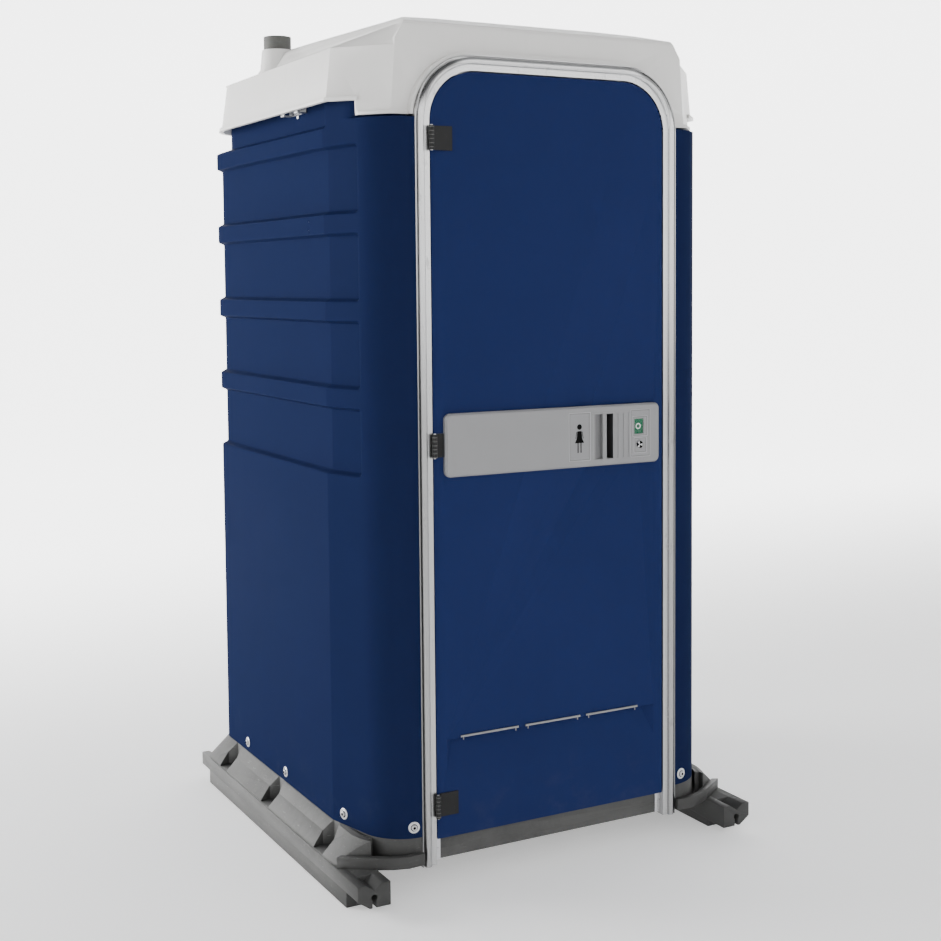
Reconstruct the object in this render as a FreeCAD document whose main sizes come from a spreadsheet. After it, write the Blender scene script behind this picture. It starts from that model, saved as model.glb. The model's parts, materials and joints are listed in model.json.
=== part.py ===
import FreeCAD, Part

import math
import os
import re

import Sketcher

# Portable toilet cabin, in millimetres.
# The origin is on the ground under the middle of the base, +Z is up, and the door faces -Y.
# Depths that start at the door frame's front plane are counted back into the cabin (+Y).

V = FreeCAD.Vector
X_AXIS = V(1, 0, 0)
Y_AXIS = V(0, 1, 0)
Z_AXIS = V(0, 0, 1)
LEFT = -1
RIGHT = 1

doc = FreeCAD.newDocument("toilet_cabin")
sheet = doc.addObject("Spreadsheet::Sheet", "Sizes")
nodes = []

# Further than any part of the cabin reaches
FAR = 3000

# Sizes that stand by themselves
SIZES = {
    # Base and skids
    "base_margin": 60,  # side wall out to a skid's outer side
    "skid_width": 89,  # width of a skid
    "skid_height": 78,  # height of a skid
    "end_length": 72,  # length of a skid's raised end
    "end_rise": 18,  # underside of the raised end above the ground
    "end_slope": 32,  # width of the slope at the raised end's outer edge
    "end_slope_rise": 22,  # height of that slope
    "rope_hole_radius": 8,  # rope hole in a skid end
    "rope_hole_height": 44,  # centre of the rope hole above the ground
    "rope_slot": 10,  # width of the slot under the rope hole
    "notch_width": 44,  # width of the notch along a skid end
    "notch_depth": 15,  # depth of that notch
    "notch_length": 64,  # length of that notch
    # Walls
    "upstand_top": 205,  # upper edge of the upstand inside the walls
    "panel_ramp": 1.25,  # length of the ramp at a panel's front end for each millimetre of depth
    "wall_half": 543,  # half the width over the side walls
    "wall_depth": 1096,  # frame front plane to the back of the rear wall
    "wall_thick": 6,  # wall panel thickness
    "wall_bottom": 144,  # lower edge of the walls
    "wall_front": 2,  # frame front plane back to the walls' front face
    "front_radius": 123,  # radius of the front corners
    "facet_depth": 228,  # frame front plane to the crease on a side wall
    "rear_radius": 45,  # radius of the rear corners
    "top_rear_radius": 150,  # radius of the rear corners above the ribs
    "panel_bottom": 1060,  # lower edge of the lowest recessed panel
    "panel_height": 173,  # height of a recessed panel
    "panel_pitch": 221,  # height from one recessed panel to the next
    "panel_depth": 16,  # depth of a recessed panel
    "panel_front": 69,  # frame front plane to the front end of a recessed panel
    "seam_lap": 30,  # overlap of the rear wall behind the side walls
    "panel_count": 4,  # recessed panels, one above the other
    # Base pan
    "floor_top": 120,  # upper face of the floor
    "upstand_thick": 10,  # thickness of the upstand
    "flange_edge": 6,  # height of the flange's outer edge
    "pocket_width": 84,  # length of a strap pocket in the flange
    "pocket_reach": 62,  # depth of a strap pocket into the flange
    "pocket_near": 196,  # frame front plane to the nearest strap pocket
    "pocket_middle": 590,  # frame front plane to the middle strap pocket
    "lip_height": 28,  # height of the front corner bars
    "lip_thick": 17,  # thickness of the front corner bars
    "seat_gap": 0.3,  # clearance between seated parts
    # Door frame
    "frame_margin": 150,  # side wall in to the door frame
    "frame_bottom": 64,  # lower end of the door frame's legs
    "frame_width": 40,  # face width of the frame
    "frame_depth": 51,  # depth of the frame
    "frame_wall": 3,  # wall thickness of the frame
    "frame_radius": 130,  # inner corner radius of the frame
    "bead_height": 7,  # height of the round bead on the frame's face
    "bead_start": 7,  # outer edge of the frame to the bead
    "bead_end": 25,  # outer edge of the frame to the inner side of the bead
    "stop_lip": 12,  # width of the door stop behind the door
    # Sill
    "sill_set": 18,  # frame front plane back to the face of the sill
    "sill_bottom": 72,  # lower edge of the sill
    "sill_thick": 5,  # thickness of the sill
    "sill_tread": 44,  # width of the sill's tread
    "foot_plate_width": 17,  # width of a plate at the foot of the frame
    "foot_plate_thick": 2,  # thickness of that plate
    "foot_plate_height": 57,  # height of that plate
    "foot_rivet_z": 100,  # height of that plate's rivet
    # Roof
    "roof_side": 19,  # side wall out to the roof's lower edge
    "skirt_lean": 15,  # how far the skirt leans in up to its crease
    "block_lean": 10,  # how far the front block's side edges lean in over the same height
    "hood_eave": 72,  # width of the rounded part of the hood at each side
    "hood_fall": 17,  # fall from the highest point to the inner end of that rounded part
    "hood_crown": 3,  # fall from the highest point to the crown at the front
    "hood_rise": 0.035,  # how much the hood's sides rise for each millimetre back
    "lip_out": 7,  # how far the lip at the skirt's lower edge stands out
    "lip_high": 10,  # height of that lip
    "roof_overhang": 17,  # roof beyond the rear wall
    "roof_bottom": 2002,  # lower edge of the roof skirt
    "roof_thick": 5,  # thickness of the roof
    "roof_front": 33,  # frame front plane back to the roof's front face
    "rim_front": 12,  # frame front plane back to the rim round the frame
    "rim_width": 8,  # width of that rim
    "roof_crease": 160,  # frame front plane to the crease on the skirt
    "roof_rear_radius": 187,  # radius of the roof's rear corners
    "hood_inset": 160,  # side skirt in to the upper edge of the shoulder
    "hood_radius": 60,  # radius of the shoulder's upper rear corners
    "shoulder_end": 20,  # length of the slope at the shoulder's rear end
    "shoulder_ledge": 1.5,  # how far the shoulder's foot stands in from the skirt
    "hood_slope": 150,  # length of the slope from the front face up to the crown
    "hood_lean": 38,  # how far the hood's sides lean in
    "hood_brow": 42,  # how much lower the hood is at its sides than in the middle
    "neck_gap": 0.6,  # room between the roof's front corners and the walls inside them
    # Vent pipe
    "pipe_stub": 39,  # length of the pipe above the roof's collar
    "pipe_radius": 40.5,  # outer radius of the vent pipe
    "pipe_wall": 3,  # wall of the vent pipe
    "collar_wall": 7,  # wall of that collar
    "collar_flare": 10,  # how much wider the collar is at its foot
    # Door
    "door_gap": 3.5,  # gap between door and frame
    "door_bottom": 130,  # lower edge of the door
    "door_set": 3,  # frame front plane back to the door's face
    "door_thick": 44,  # thickness of the door
    "door_skin": 5,  # thickness of the outer door skin
    "liner_thick": 4,  # thickness of the inner door skin
    "foot_recess_top": 384,  # upper edge of the recess at the door's foot
    "foot_recess_bottom": 300,  # lower edge of that recess
    "foot_recess_depth": 28,  # depth of that recess under its upper edge
    "strip_height": 5,  # height of a drip strip
    "strip_thick": 3,  # thickness of a drip strip
    "peg_radius": 1.5,  # radius of a peg under a drip strip
    "peg_length": 7,  # length of a peg under a drip strip
    # Hinges
    "hinge_forward": 8,  # hinge axis ahead of the frame front plane
    "knuckle_radius": 6.5,  # outer radius of a hinge knuckle
    "knuckle_height": 15,  # height of a hinge knuckle
    "hinge_pin_radius": 2.5,  # radius of a hinge pin
    "pin_play": 0.06,  # radial play of a hinge pin
    "pin_head_radius": 3.6,  # radius of a hinge pin's heads
    "pin_head_height": 1.5,  # height of a hinge pin's heads
    "leaf_thick": 3,  # thickness of the door leaf
    "leaf_reach": 62,  # hinge axis to the end of the door leaf
    "frame_leaf_thick": 2.4,  # thickness of the frame leaf
    "frame_leaf_depth": 30,  # depth of the frame leaf
    "hinge_low": 218,  # middle of the bottom hinge
    # Latch plate on the door
    "plate_height": 161,  # height of the latch plate
    "cup_width": 64,  # width of the hand recess
    "plate_low": 1059,  # lower edge of the latch plate
    "plate_thick": 14,  # thickness of the latch plate
    "plate_corner": 16,  # corner radius of the latch plate
    "plate_bevel": 5,  # bevel round the face of the latch plate
    "cup_depth": 34,  # depth of the hand recess
    "cup_wall": 3,  # wall of the hand recess
    "grip_thick": 11,  # thickness of the grip's edge
    "sign_depth": 2,  # depth of the sign panel's recess
    "groove_pitch": 17,  # distance between upright grooves
    "groove_width": 5,  # width of an upright groove
    "window_width": 30,  # width of the flag window
    # Lock
    "spindle_radius": 5,  # radius of the lock spindle
    "coin_radius": 11,  # radius of the coin slot's disc
    "spindle_play": 0.4,  # radial play of the lock spindle in the door
    "knob_radius": 19,  # radius of the inside knob
    "bolt_travel": 30,  # travel of the bolt
    "bolt_length": 112,  # length of the bolt
    "bolt_height": 22,  # height of the bolt
    "bolt_thick": 8,  # thickness of the bolt
    "crank_pin_radius": 2.5,  # radius of the crank pin
    "crank_radius": 21.2,  # spindle axis to the crank pin
    "crank_play": 0.9,  # play of the crank pin in the bolt's slot
    "bolt_depth": 52,  # frame front plane back to the bolt
    "rod_radius": 3,  # radius of that rod
    "flag_play": 2,  # room at the ends of the flag's travel
    "flag_cover": 3,  # latch plate's thickness in front of the flag
    "flag_thick": 1.5,  # thickness of the flag
    "coin_thick": 5,  # thickness of the coin slot's disc
    "knob_end": 90,  # frame front plane back to the end of the knob
    "case_depth": 72,  # frame front plane back to the latch case's cover
    "case_flange": 10,  # width of the latch case's flanges
    "case_wall": 2.5,  # wall of the latch case
    "screw_radius": 2,  # shank radius of a screw
    "pull_low": 1050,  # lower post of the inside pull handle
    "pull_high": 1200,  # upper post of the inside pull handle
    "pull_radius": 8,  # radius of the inside pull handle's bar
    "pull_reach": 42,  # inner skin of the door to the bar's axis
    # Tank and seat
    "tank_length": 500,  # length of the tank
    "tank_top": 458,  # top of the tank
    "socket_depth": 30,  # how deep the vent pipe stands in the tank
    "tank_wall": 6,  # wall of the tank
    "tank_slope": 70,  # how far the tank's front leans back at the floor
    "seat_half": 185,  # half the width of the seat
    "seat_length": 420,  # length of the seat
    "seat_thick": 18,  # thickness of the seat
    "seat_hole_half": 112,  # half the width of the seat's hole
    "seat_hole_length": 270,  # length of the seat's hole
    "buffer_height": 6,  # room under the seat for its buffers
    "seat_back_gap": 30,  # rear edge of the seat to its hinge axis
    "seat_front_width": 75,  # width of the seat in front of its hole
    "lug_inner": 60,  # inner side of a seat lug, from the middle
    "lug_width": 15,  # width of a lug
    "lug_radius": 9.5,  # outer radius of a lug's eye
    "bracket_half": 112,  # half the width of the seat bracket
    "bracket_thick": 4,  # thickness of the seat bracket's plate
    "lid_gap": 3.3,  # room between seat and closed lid
    "lid_thick": 12,  # thickness of the lid
    "lid_lean": 96,  # angle of the open lid from closed
    "seat_pin_radius": 4,  # radius of the seat's hinge pin
    # Paper, hook
    "roll_radius": 55,  # outer radius of a paper roll
    "roll_bore": 20,  # radius of the bore of a paper roll
    "roll_width": 100,  # width of a paper roll
    "roll_play": 0.6,  # radial play of a roll on its roller
    "roll_z": 760,  # height of the paper rolls
    "roll_depth": 640,  # frame front plane to the middle of the two rolls
    "roll_reach": 72,  # inner wall face to the rolls' axis
    "roll_room": 2,  # room beside and between the rolls
    "holder_thick": 3,  # sheet thickness of the paper holder
    "stud_radius": 6,  # radius of the roller's end studs
    "hook_depth": 330,  # frame front plane to the coat hook
    "hook_reach": 50,  # how far the coat hook stands out
    "hook_thick": 8,  # thickness of its arm
    "hook_rise": 26,  # height of its tip above the arm's middle
    # Fasteners
    "washer_radius": 15,  # radius of a wall bolt's washer
    "washer_thick": 2,  # thickness of that washer
    "bolt_head_radius": 7,  # radius of a wall bolt's head
    "bolt_shank_radius": 4,  # radius of a wall bolt's shank
    "bolt_head_height": 4,  # height of a wall bolt's head
    "bolt_z": 172,  # height of the wall bolts
    "corner_bolt_angle": -78,  # angle of the front corner bolt round its corner
    "facet_bolt_share": 0.66,  # place of the facet's bolt along the facet
    "side_bolt_near": 569,  # frame front plane to the nearer bolt on a side
    "rivet_shank": 2.4,  # shank radius of a rivet
    "seam_rivet_count": 3,  # rivets down the lower part of a rear seam
    "clip_depth": 370,  # frame front plane to the front of a roof clip
    "clip_length": 120,  # length of a roof clip
    "clip_thick": 2.5,  # sheet thickness of a roof clip
    "clip_tab": 31,  # height of a roof clip's tabs
    "clip_tab_width": 24,  # width of those tabs
    "rivet_radius": 4,  # radius of a rivet head
}

# Sizes that follow others: a sum, in which a size may be divided
FOLLOWING = {
    "base_half": "wall_half + base_margin",  # half the width over the skids
    "flange_foot": "base_half - 3",  # half the width over the feet of the sloping flanges
    "skid_half_length": "wall_depth/2 + 56",  # half the length of a skid
    "front_set": "wall_depth/2 - 7",  # door frame front plane, ahead of the middle of the base
    "frame_half": "wall_half - frame_margin",  # half the width over the door frame
    "corner_start": "frame_half - 3",  # half the width where the front corners begin
    "side_joint": "wall_half - 113",  # half the distance between the side walls' rear edges
    "wall_top": "roof_bottom + 28",  # upper edge of the walls
    "top_recess_bottom": "roof_bottom - 59",  # lower edge of the set-back band under the roof
    "roof_half": "wall_half + roof_side",  # half the width over the roof
    "block_half": "frame_half + 47",  # half the width of the roof's front face
    "apron_half": "block_half + 66",  # half the width of the deeper apron at the front corners
    "apron_bottom": "roof_bottom - 37",  # lower edge of the roof beside the door frame
    "shoulder_low": "roof_bottom + 133",  # crease between skirt and shoulder
    "shoulder_high": "shoulder_low + 59",  # upper edge of the shoulder
    "crown_top": "shoulder_low + 103",  # highest point of the roof
    "hood_depth": "wall_depth - 91",  # frame front plane back to the rear end of the hood
    "frame_top": "roof_bottom + 116",  # top of the door frame
    "pipe_x": "138 - wall_half",  # vent pipe, sideways from the middle
    "pipe_depth": "wall_depth - 203",  # vent pipe, behind the frame front plane
    "collar_top": "crown_top + 1",  # top of the collar moulded in the roof
    "pipe_top": "collar_top + pipe_stub",  # top of the vent pipe
    "pipe_shank": "pipe_radius - 2",  # outer radius of the vent pipe below its wider end
    "foot_recess_left": "71 - frame_half",  # left end of that recess
    "foot_recess_right": "frame_half - 71",  # right end of that recess
    "hinge_x": "41 - frame_half",  # hinge axis, sideways from the middle
    "plate_left": "71 - frame_half",  # left end of the latch plate
    "plate_right": "frame_half - 61",  # right end of the latch plate
    "plate_high": "plate_low + plate_height",  # upper edge of the latch plate
    "cup_left": "cup_right - cup_width",  # left side of the hand recess
    "cup_right": "lock_x - 85",  # right side of the hand recess
    "cup_low": "plate_low + 18",  # lower side of the hand recess
    "cup_high": "plate_high - 23",  # upper side of the hand recess
    "grip_left": "cup_left + 31",  # left side of the grip's edge
    "grip_right": "grip_left + 12",  # right side of the grip's edge
    "sign_left": "sign_right - 57",  # left side of the sign panel
    "sign_right": "cup_left - 13",  # right side of the sign panel
    "groove_first": "cup_right + 11",  # first upright groove
    "window_left": "lock_x - 17",  # left side of the flag window
    "window_low": "plate_low + 79",  # lower side of the flag window
    "window_high": "window_low + 41",  # upper side of the flag window
    "lock_x": "plate_right - 66",  # lock spindle, sideways from the middle
    "lock_z": "plate_low + 50",  # lock spindle, height
    "bolt_tip": "frame_half - 55",  # tip of the bolt when it is drawn back
    "bolt_low": "lock_z + 7",  # lower edge of the bolt
    "rod_x": "lock_x + 19",  # rod between bolt and flag, sideways from the middle
    "rod_z": "lock_z + 48",  # height of that rod
    "flag_left": "lock_x - 49",  # left end of the flag
    "case_left": "lock_x - 54",  # left side of the latch case
    "case_right": "lock_x + 65",  # right side of the latch case
    "case_low": "lock_z - 17",  # lower side of the latch case
    "case_high": "lock_z + 63",  # upper side of the latch case
    "pull_x": "lock_x - 116",  # inside pull handle, sideways from the middle
    "hinge_mid": "plate_low + 82",  # middle of the middle hinge
    "hinge_high": "frame_top - 211",  # middle of the top hinge
    "tank_front": "tank_rear - tank_length",  # frame front plane to the front of the tank
    "tank_rear": "wall_depth - 36",  # frame front plane to the rear of the tank
    "tank_half": "wall_half - 23",  # half the width of the tank
    "seat_axis_depth": "tank_rear - 56",  # frame front plane to the seat's hinge axis
    "side_bolt_far": "wall_depth - 215",  # frame front plane to the farther bolt on a side
    "pocket_far": "wall_depth - 151",  # frame front plane to the farthest strap pocket
    "doorway_half": "frame_half - frame_width",  # half the width between the frame's sides
    "flag_depth": "door_set - plate_thick + flag_cover + 1",  # frame front plane to the flag
    "roll_x": "wall_half - wall_thick - roll_reach",  # paper roller, sideways from the middle
    "seat_axis_height": "tank_top + buffer_height + seat_thick + 1",  # height of the seat's hinge axis
    "clip_low": "roof_bottom - 5",  # lower edge of a roof clip
    "clip_rivet_z": "roof_bottom - 8",  # height of a roof clip's rivet
}


for row, (alias, value) in enumerate(SIZES.items(), 1):
    sheet.set("A%d" % row, alias)
    sheet.set("B%d" % row, str(value))
    sheet.setAlias("B%d" % row, alias)


class SizeReader:
    """Reads a size back from the sheet, or adds up one that follows others."""

    def __getattr__(self, name):
        if name in FOLLOWING:
            return self.total(FOLLOWING[name])
        return float(sheet.get(name))

    def total(self, text):
        """The sum that a rule in plain names comes to."""
        result = 0.0
        sign = 1
        for word in text.split():
            if word in ("+", "-"):
                sign = 1 if word == "+" else -1
                continue
            name, _, divisor = word.partition("/")
            value = getattr(self, name) if name in SIZES or name in FOLLOWING else float(name)
            result += sign * value / float(divisor or 1)
        return result


S = SizeReader()

doc.recompute()


def rule(text):
    """Turns a rule in plain names into an expression on the sheet."""
    def expand(match):
        name = match.group()
        if name in FOLLOWING:
            return "(" + rule(FOLLOWING[name]) + ")"
        return "Sizes." + name if name in SIZES else name
    return re.sub(r"[a-z_]+", expand, str(text))


def bind(obj, prop, text):
    obj.setExpression(prop, rule(text))


def node(obj, name):
    """Marks an object as one of the finished pieces."""
    obj.Label = name
    nodes.append(obj)
    return obj


def feature(name, shape, placement=FreeCAD.Placement()):
    """A finished piece whose shape comes from Part's own functions."""
    obj = doc.addObject("Part::Feature", name)
    obj.Shape = shape
    obj.Placement = placement
    return node(obj, name)


def front(depth):
    """Y of a depth behind the frame's front plane."""
    return depth - S.front_set


# Sketch-based bodies

def new_body(name):
    return node(doc.addObject("PartDesign::Body", name), name)


def base_plane(body, role):
    return [f for f in body.Origin.OriginFeatures if f.Role == role][0]


def new_sketch(body, name, role, offset="0"):
    """A sketch on one of the body's own origin planes, moved along the plane's normal."""
    sketch = body.newObject("Sketcher::SketchObject", name)
    sketch.AttachmentSupport = (base_plane(body, role), "")
    sketch.MapMode = "FlatFace"
    bind(sketch, ".AttachmentOffset.Base.z", offset)
    return sketch


def hold(sketch, kind, geometry, point, start, text):
    """Ties one coordinate of a sketch point to a rule, measured from the sketch's origin."""
    index = sketch.addConstraint(Sketcher.Constraint(kind, -1, 1, geometry, point, start))
    sketch.setExpression("Constraints[%d]" % index, rule(text))


def polygon(sketch, corners):
    """A closed outline whose corners follow pairs of rules."""
    count = len(corners)
    spots = []
    for i in range(count):
        turn = 2 * math.pi * i / count
        spots.append(V(100 * math.cos(turn), 100 * math.sin(turn), 0))
    first = sketch.GeometryCount
    for i in range(count):
        sketch.addGeometry(Part.LineSegment(spots[i], spots[(i + 1) % count]), False)
    for i in range(count):
        after = first + (i + 1) % count
        sketch.addConstraint(Sketcher.Constraint("Coincident", first + i, 2, after, 1))
    for i, (across, up) in enumerate(corners):
        hold(sketch, "DistanceX", first + i, 1, spots[i].x, across)
        hold(sketch, "DistanceY", first + i, 1, spots[i].y, up)


def rectangle(sketch, low_x, high_x, low_y, high_y):
    polygon(sketch, [(low_x, low_y), (high_x, low_y), (high_x, high_y), (low_x, high_y)])


def circle(sketch, across, up, radius):
    index = sketch.addGeometry(Part.Circle(V(1, 1, 0), Z_AXIS, 5), False)
    hold(sketch, "DistanceX", index, 3, 1, across)
    hold(sketch, "DistanceY", index, 3, 1, up)
    held = sketch.addConstraint(Sketcher.Constraint("Radius", index, 5))
    sketch.setExpression("Constraints[%d]" % held, rule(radius))


def pad(body, sketch, length, reverse=False, midplane=False):
    made = body.newObject("PartDesign::Pad", sketch.Name + "_pad")
    made.Profile = sketch
    bind(made, "Length", length)
    made.Reversed = reverse
    made.Midplane = midplane
    return made


def pocket(body, sketch, length, reverse=False, midplane=False):
    made = body.newObject("PartDesign::Pocket", sketch.Name + "_pocket")
    made.Profile = sketch
    bind(made, "Length", length)
    made.Reversed = reverse
    made.Midplane = midplane
    return made


# Primitives that follow rules

def block(name, low_x, low_y, low_z, long_x, long_y, long_z):
    box = doc.addObject("Part::Box", name)
    bind(box, "Length", long_x)
    bind(box, "Width", long_y)
    bind(box, "Height", long_z)
    bind(box, "Placement.Base.x", low_x)
    bind(box, "Placement.Base.y", low_y)
    bind(box, "Placement.Base.z", low_z)
    return box


def rod(name, radius, length, at_x, at_y, at_z, axis=Z_AXIS):
    cylinder = doc.addObject("Part::Cylinder", name)
    cylinder.Placement = FreeCAD.Placement(V(), FreeCAD.Rotation(Z_AXIS, axis))
    bind(cylinder, "Radius", radius)
    bind(cylinder, "Height", length)
    bind(cylinder, "Placement.Base.x", at_x)
    bind(cylinder, "Placement.Base.y", at_y)
    bind(cylinder, "Placement.Base.z", at_z)
    return cylinder


def cut(name, base, tool):
    made = doc.addObject("Part::Cut", name)
    made.Base = base
    made.Tool = tool
    return made


def fuse(name, shapes):
    made = doc.addObject("Part::MultiFuse", name)
    made.Shapes = shapes
    return made


def group(name, shapes):
    """Like pieces kept as separate solids in one node."""
    made = doc.addObject("Part::Compound", name)
    made.Links = shapes
    return made


# Shapes worked out with Part's own functions

def box_shape(low, high):
    return Part.makeBox(high[0] - low[0], high[1] - low[1], high[2] - low[2], V(*low))


def prism(points, low, high):
    """An upright prism over a plan outline."""
    wire = Part.makePolygon([V(x, y, low) for x, y in points] + [V(points[0][0], points[0][1], low)])
    return Part.Face(wire).extrude(V(0, 0, high - low))


def mirrored(shape):
    """The same shape on the other side of the middle plane."""
    return shape.mirror(V(), X_AXIS)


def solid_of(shape):
    """The one solid that a boolean left."""
    if len(shape.Solids) != 1:
        raise RuntimeError("%d solids where one is meant" % len(shape.Solids))
    return shape.Solids[0]


def arc(start, middle, end):
    return Part.Arc(V(*start), V(*middle), V(*end)).toShape()


def line(start, end):
    return Part.LineSegment(V(*start), V(*end)).toShape()


def corner_arc(centre, radius, from_angle, to_angle, z):
    """A quarter or smaller arc in plan, by its angles in degrees."""
    spots = []
    for turn in (from_angle, (from_angle + to_angle) / 2, to_angle):
        radians = math.radians(turn)
        spots.append((centre[0] + radius * math.cos(radians), centre[1] + radius * math.sin(radians), z))
    return arc(*spots)


def corner_end(inset):
    """Where the right-hand front corner's arc meets the facet: centre, radius, angle and crease."""
    radius = S.front_radius - inset
    centre = (S.corner_start, front(S.wall_front + S.front_radius))
    crease = (S.wall_half - inset, front(S.facet_depth) + 0.1 * inset)
    across = crease[0] - centre[0]
    along = crease[1] - centre[1]
    reach = math.hypot(across, along)
    turn = math.degrees(math.atan2(along, across) - math.acos(radius / reach))
    return centre, radius, turn, crease


def cabin_wire(inset, rear_radius, z):
    """The walls' plan outline, moved inwards by inset."""
    (x, y), radius, turn, (half, crease) = corner_end(inset)
    near = y - radius
    far = front(S.wall_depth - inset)
    back = rear_radius - inset
    end_x = x + radius * math.cos(math.radians(turn))
    end_y = y + radius * math.sin(math.radians(turn))
    edges = [
        line((-x, near, z), (x, near, z)),
        corner_arc((x, y), radius, -90, turn, z),
        line((end_x, end_y, z), (half, crease, z)),
        line((half, crease, z), (half, far - back, z)),
        corner_arc((half - back, far - back), back, 0, 90, z),
        line((half - back, far, z), (back - half, far, z)),
        corner_arc((back - half, far - back), back, 90, 180, z),
        line((-half, far - back, z), (-half, crease, z)),
        line((-half, crease, z), (-end_x, end_y, z)),
        corner_arc((-x, y), radius, 180 - turn, 270, z),
    ]
    return Part.Wire(edges)


def cabin_prism(inset, low, high, rear_radius=None):
    if rear_radius is None:
        rear_radius = S.rear_radius
    return Part.Face(cabin_wire(inset, rear_radius, low)).extrude(V(0, 0, high - low))


def wall_ring(outer, inner, low, high, rear_radius=None):
    return cabin_prism(outer, low, high, rear_radius).cut(cabin_prism(inner, low, high, rear_radius))


# Base

def skid(name, side):
    """A runner with raised ends, each with a rope hole, a slot under it and a notch on top."""
    body = new_body(name)
    profile = new_sketch(body, name + "_profile", "XZ_Plane")
    outer = "%d * base_half" % side
    inner = "%d * (base_half - skid_width)" % side
    rectangle(profile, outer, inner, "0", "skid_height")
    pad(body, profile, "2 * skid_half_length", midplane=True)
    middle = "%d * (base_half - skid_width / 2)" % side
    rise = new_sketch(body, name + "_rise", "XZ_Plane", "skid_half_length")
    slope = "%d * (base_half - end_slope)" % side
    polygon(rise, [
        (outer + " + %d" % side, "-1"), (outer + " + %d" % side, "end_rise + end_slope_rise"),
        (outer, "end_rise + end_slope_rise"), (slope, "end_rise"),
        (inner + " - %d" % side, "end_rise"), (inner + " - %d" % side, "-1"),
    ])
    under = pocket(body, rise, "end_length")
    rope = new_sketch(body, name + "_rope", "XZ_Plane", "skid_half_length")
    circle(rope, middle, "rope_hole_height", "rope_hole_radius")
    hole = pocket(body, rope, "end_length")
    gate = new_sketch(body, name + "_gate", "XZ_Plane", "skid_half_length")
    rectangle(gate, middle + " - rope_slot / 2", middle + " + rope_slot / 2", "-1", "rope_hole_height")
    opening = pocket(body, gate, "end_length")
    notch = new_sketch(body, name + "_notch", "XZ_Plane", "skid_half_length")
    polygon(notch, [
        (middle, "skid_height - notch_depth"), (middle + " + notch_width / 2", "skid_height"),
        (middle + " + notch_width / 2", "skid_height + 1"),
        (middle + " - notch_width / 2", "skid_height + 1"), (middle + " - notch_width / 2", "skid_height"),
    ])
    groove = pocket(body, notch, "notch_length")
    other_end = body.newObject("PartDesign::Mirrored", name + "_other_end")
    other_end.Originals = [under, hole, opening, groove]
    other_end.MirrorPlane = (base_plane(body, "XZ_Plane"), [""])
    body.Tip = other_end


def flange_section(depth):
    """Section across a side flange, from the plinth down to the flange's foot."""
    top = S.wall_bottom - S.seat_gap
    edge = S.skid_height + S.flange_edge
    inner = S.wall_half - 2 * S.upstand_thick
    points = [
        (inner, S.skid_height), (S.flange_foot, S.skid_height), (S.flange_foot, edge),
        (S.wall_half + 2, top), (inner, top),
    ]
    return Part.makePolygon([V(x, front(depth), z) for x, z in points + points[:1]])


def side_flange():
    """The right-hand flange: straight along the side and turned round both corners."""
    start = S.wall_front + S.front_radius
    end = S.wall_depth - S.rear_radius
    straight = Part.Face(flange_section(start)).extrude(V(0, end - start, 0))
    turn_centre = V(S.corner_start, front(start), 0)
    front_turn = Part.Face(flange_section(start)).revolve(turn_centre, Z_AXIS, -70)
    inner = S.wall_half - S.rear_radius
    rear_turn = Part.Face(flange_section(end)).revolve(V(inner, front(end), 0), Z_AXIS, 60)
    return straight.fuse([front_turn, rear_turn])


def strap_pocket(depth):
    """A six-sided pocket cut down into the right-hand flange."""
    half = S.pocket_width / 2
    outer = S.flange_foot + 1
    inner = S.flange_foot - S.pocket_reach
    shoulder = S.flange_foot - S.pocket_reach / 2
    points = [
        (outer, front(depth - 0.72 * half)), (outer, front(depth + 0.72 * half)),
        (shoulder, front(depth + half)), (inner, front(depth + 0.62 * half)),
        (inner, front(depth - 0.1 * half)), (shoulder, front(depth - 0.78 * half)),
    ]
    return prism(points, S.skid_height + 2, S.wall_bottom + 10)


def corner_bar_points(inset):
    """Plan of the right-hand front corner bar's face, from the door frame to the skid."""
    start = S.frame_half + S.seat_gap
    return [
        (start, front(-12 + inset)), (start + 45, front(-15 + inset)),
        (start + 85, front(-3 + inset)), (start + 135 - inset / 2, front(24 + inset)),
        (S.flange_foot - inset, front(74 + inset / 2)),
    ]


def corner_bar():
    """The right-hand bar at the foot of the front corner."""
    face = corner_bar_points(0)
    back = corner_bar_points(S.lip_thick)
    low = S.skid_height - 2
    return prism(face + back[::-1], low, S.skid_height + S.lip_height)


def corner_front_cut():
    """What is cleared ahead of the right-hand corner bar, and above it ahead of the walls."""
    face = corner_bar_points(0)
    inner = S.frame_half - 60
    ahead = [(FAR, -FAR), (inner, -FAR)]
    below = prism([(inner, face[0][1])] + face + [(FAR, face[-1][1])] + ahead,
                  S.skid_height - 4, S.wall_bottom + 10)
    back = corner_bar_points(S.lip_thick)
    behind = prism(back + [(FAR, back[-1][1]), (FAR, -FAR), (back[0][0], -FAR)],
                   S.skid_height + S.lip_height, S.wall_bottom + 10)
    return below.fuse(behind)


def corner_gutter():
    """The hollow between the right-hand corner bar and the plinth."""
    back = corner_bar_points(S.lip_thick)
    deep = [(back[3][0], front(60)), (S.frame_half + 75, front(66)), (back[0][0], front(50))]
    hollow = prism(back[:4] + deep, S.skid_height + 8, S.wall_bottom + 10)
    return hollow.cut(cabin_prism(3, S.skid_height, S.wall_bottom + 20))


def lip_room():
    """Room for the door stop at the foot of the frame, on both sides."""
    outer = S.frame_half
    inner = outer - S.frame_width - S.stop_lip - S.seat_gap
    room = box_shape((inner, front(S.frame_depth - S.frame_wall - S.seat_gap), 0),
                     (outer, front(S.frame_depth + S.seat_gap), FAR))
    return [room, mirrored(room)]


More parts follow.
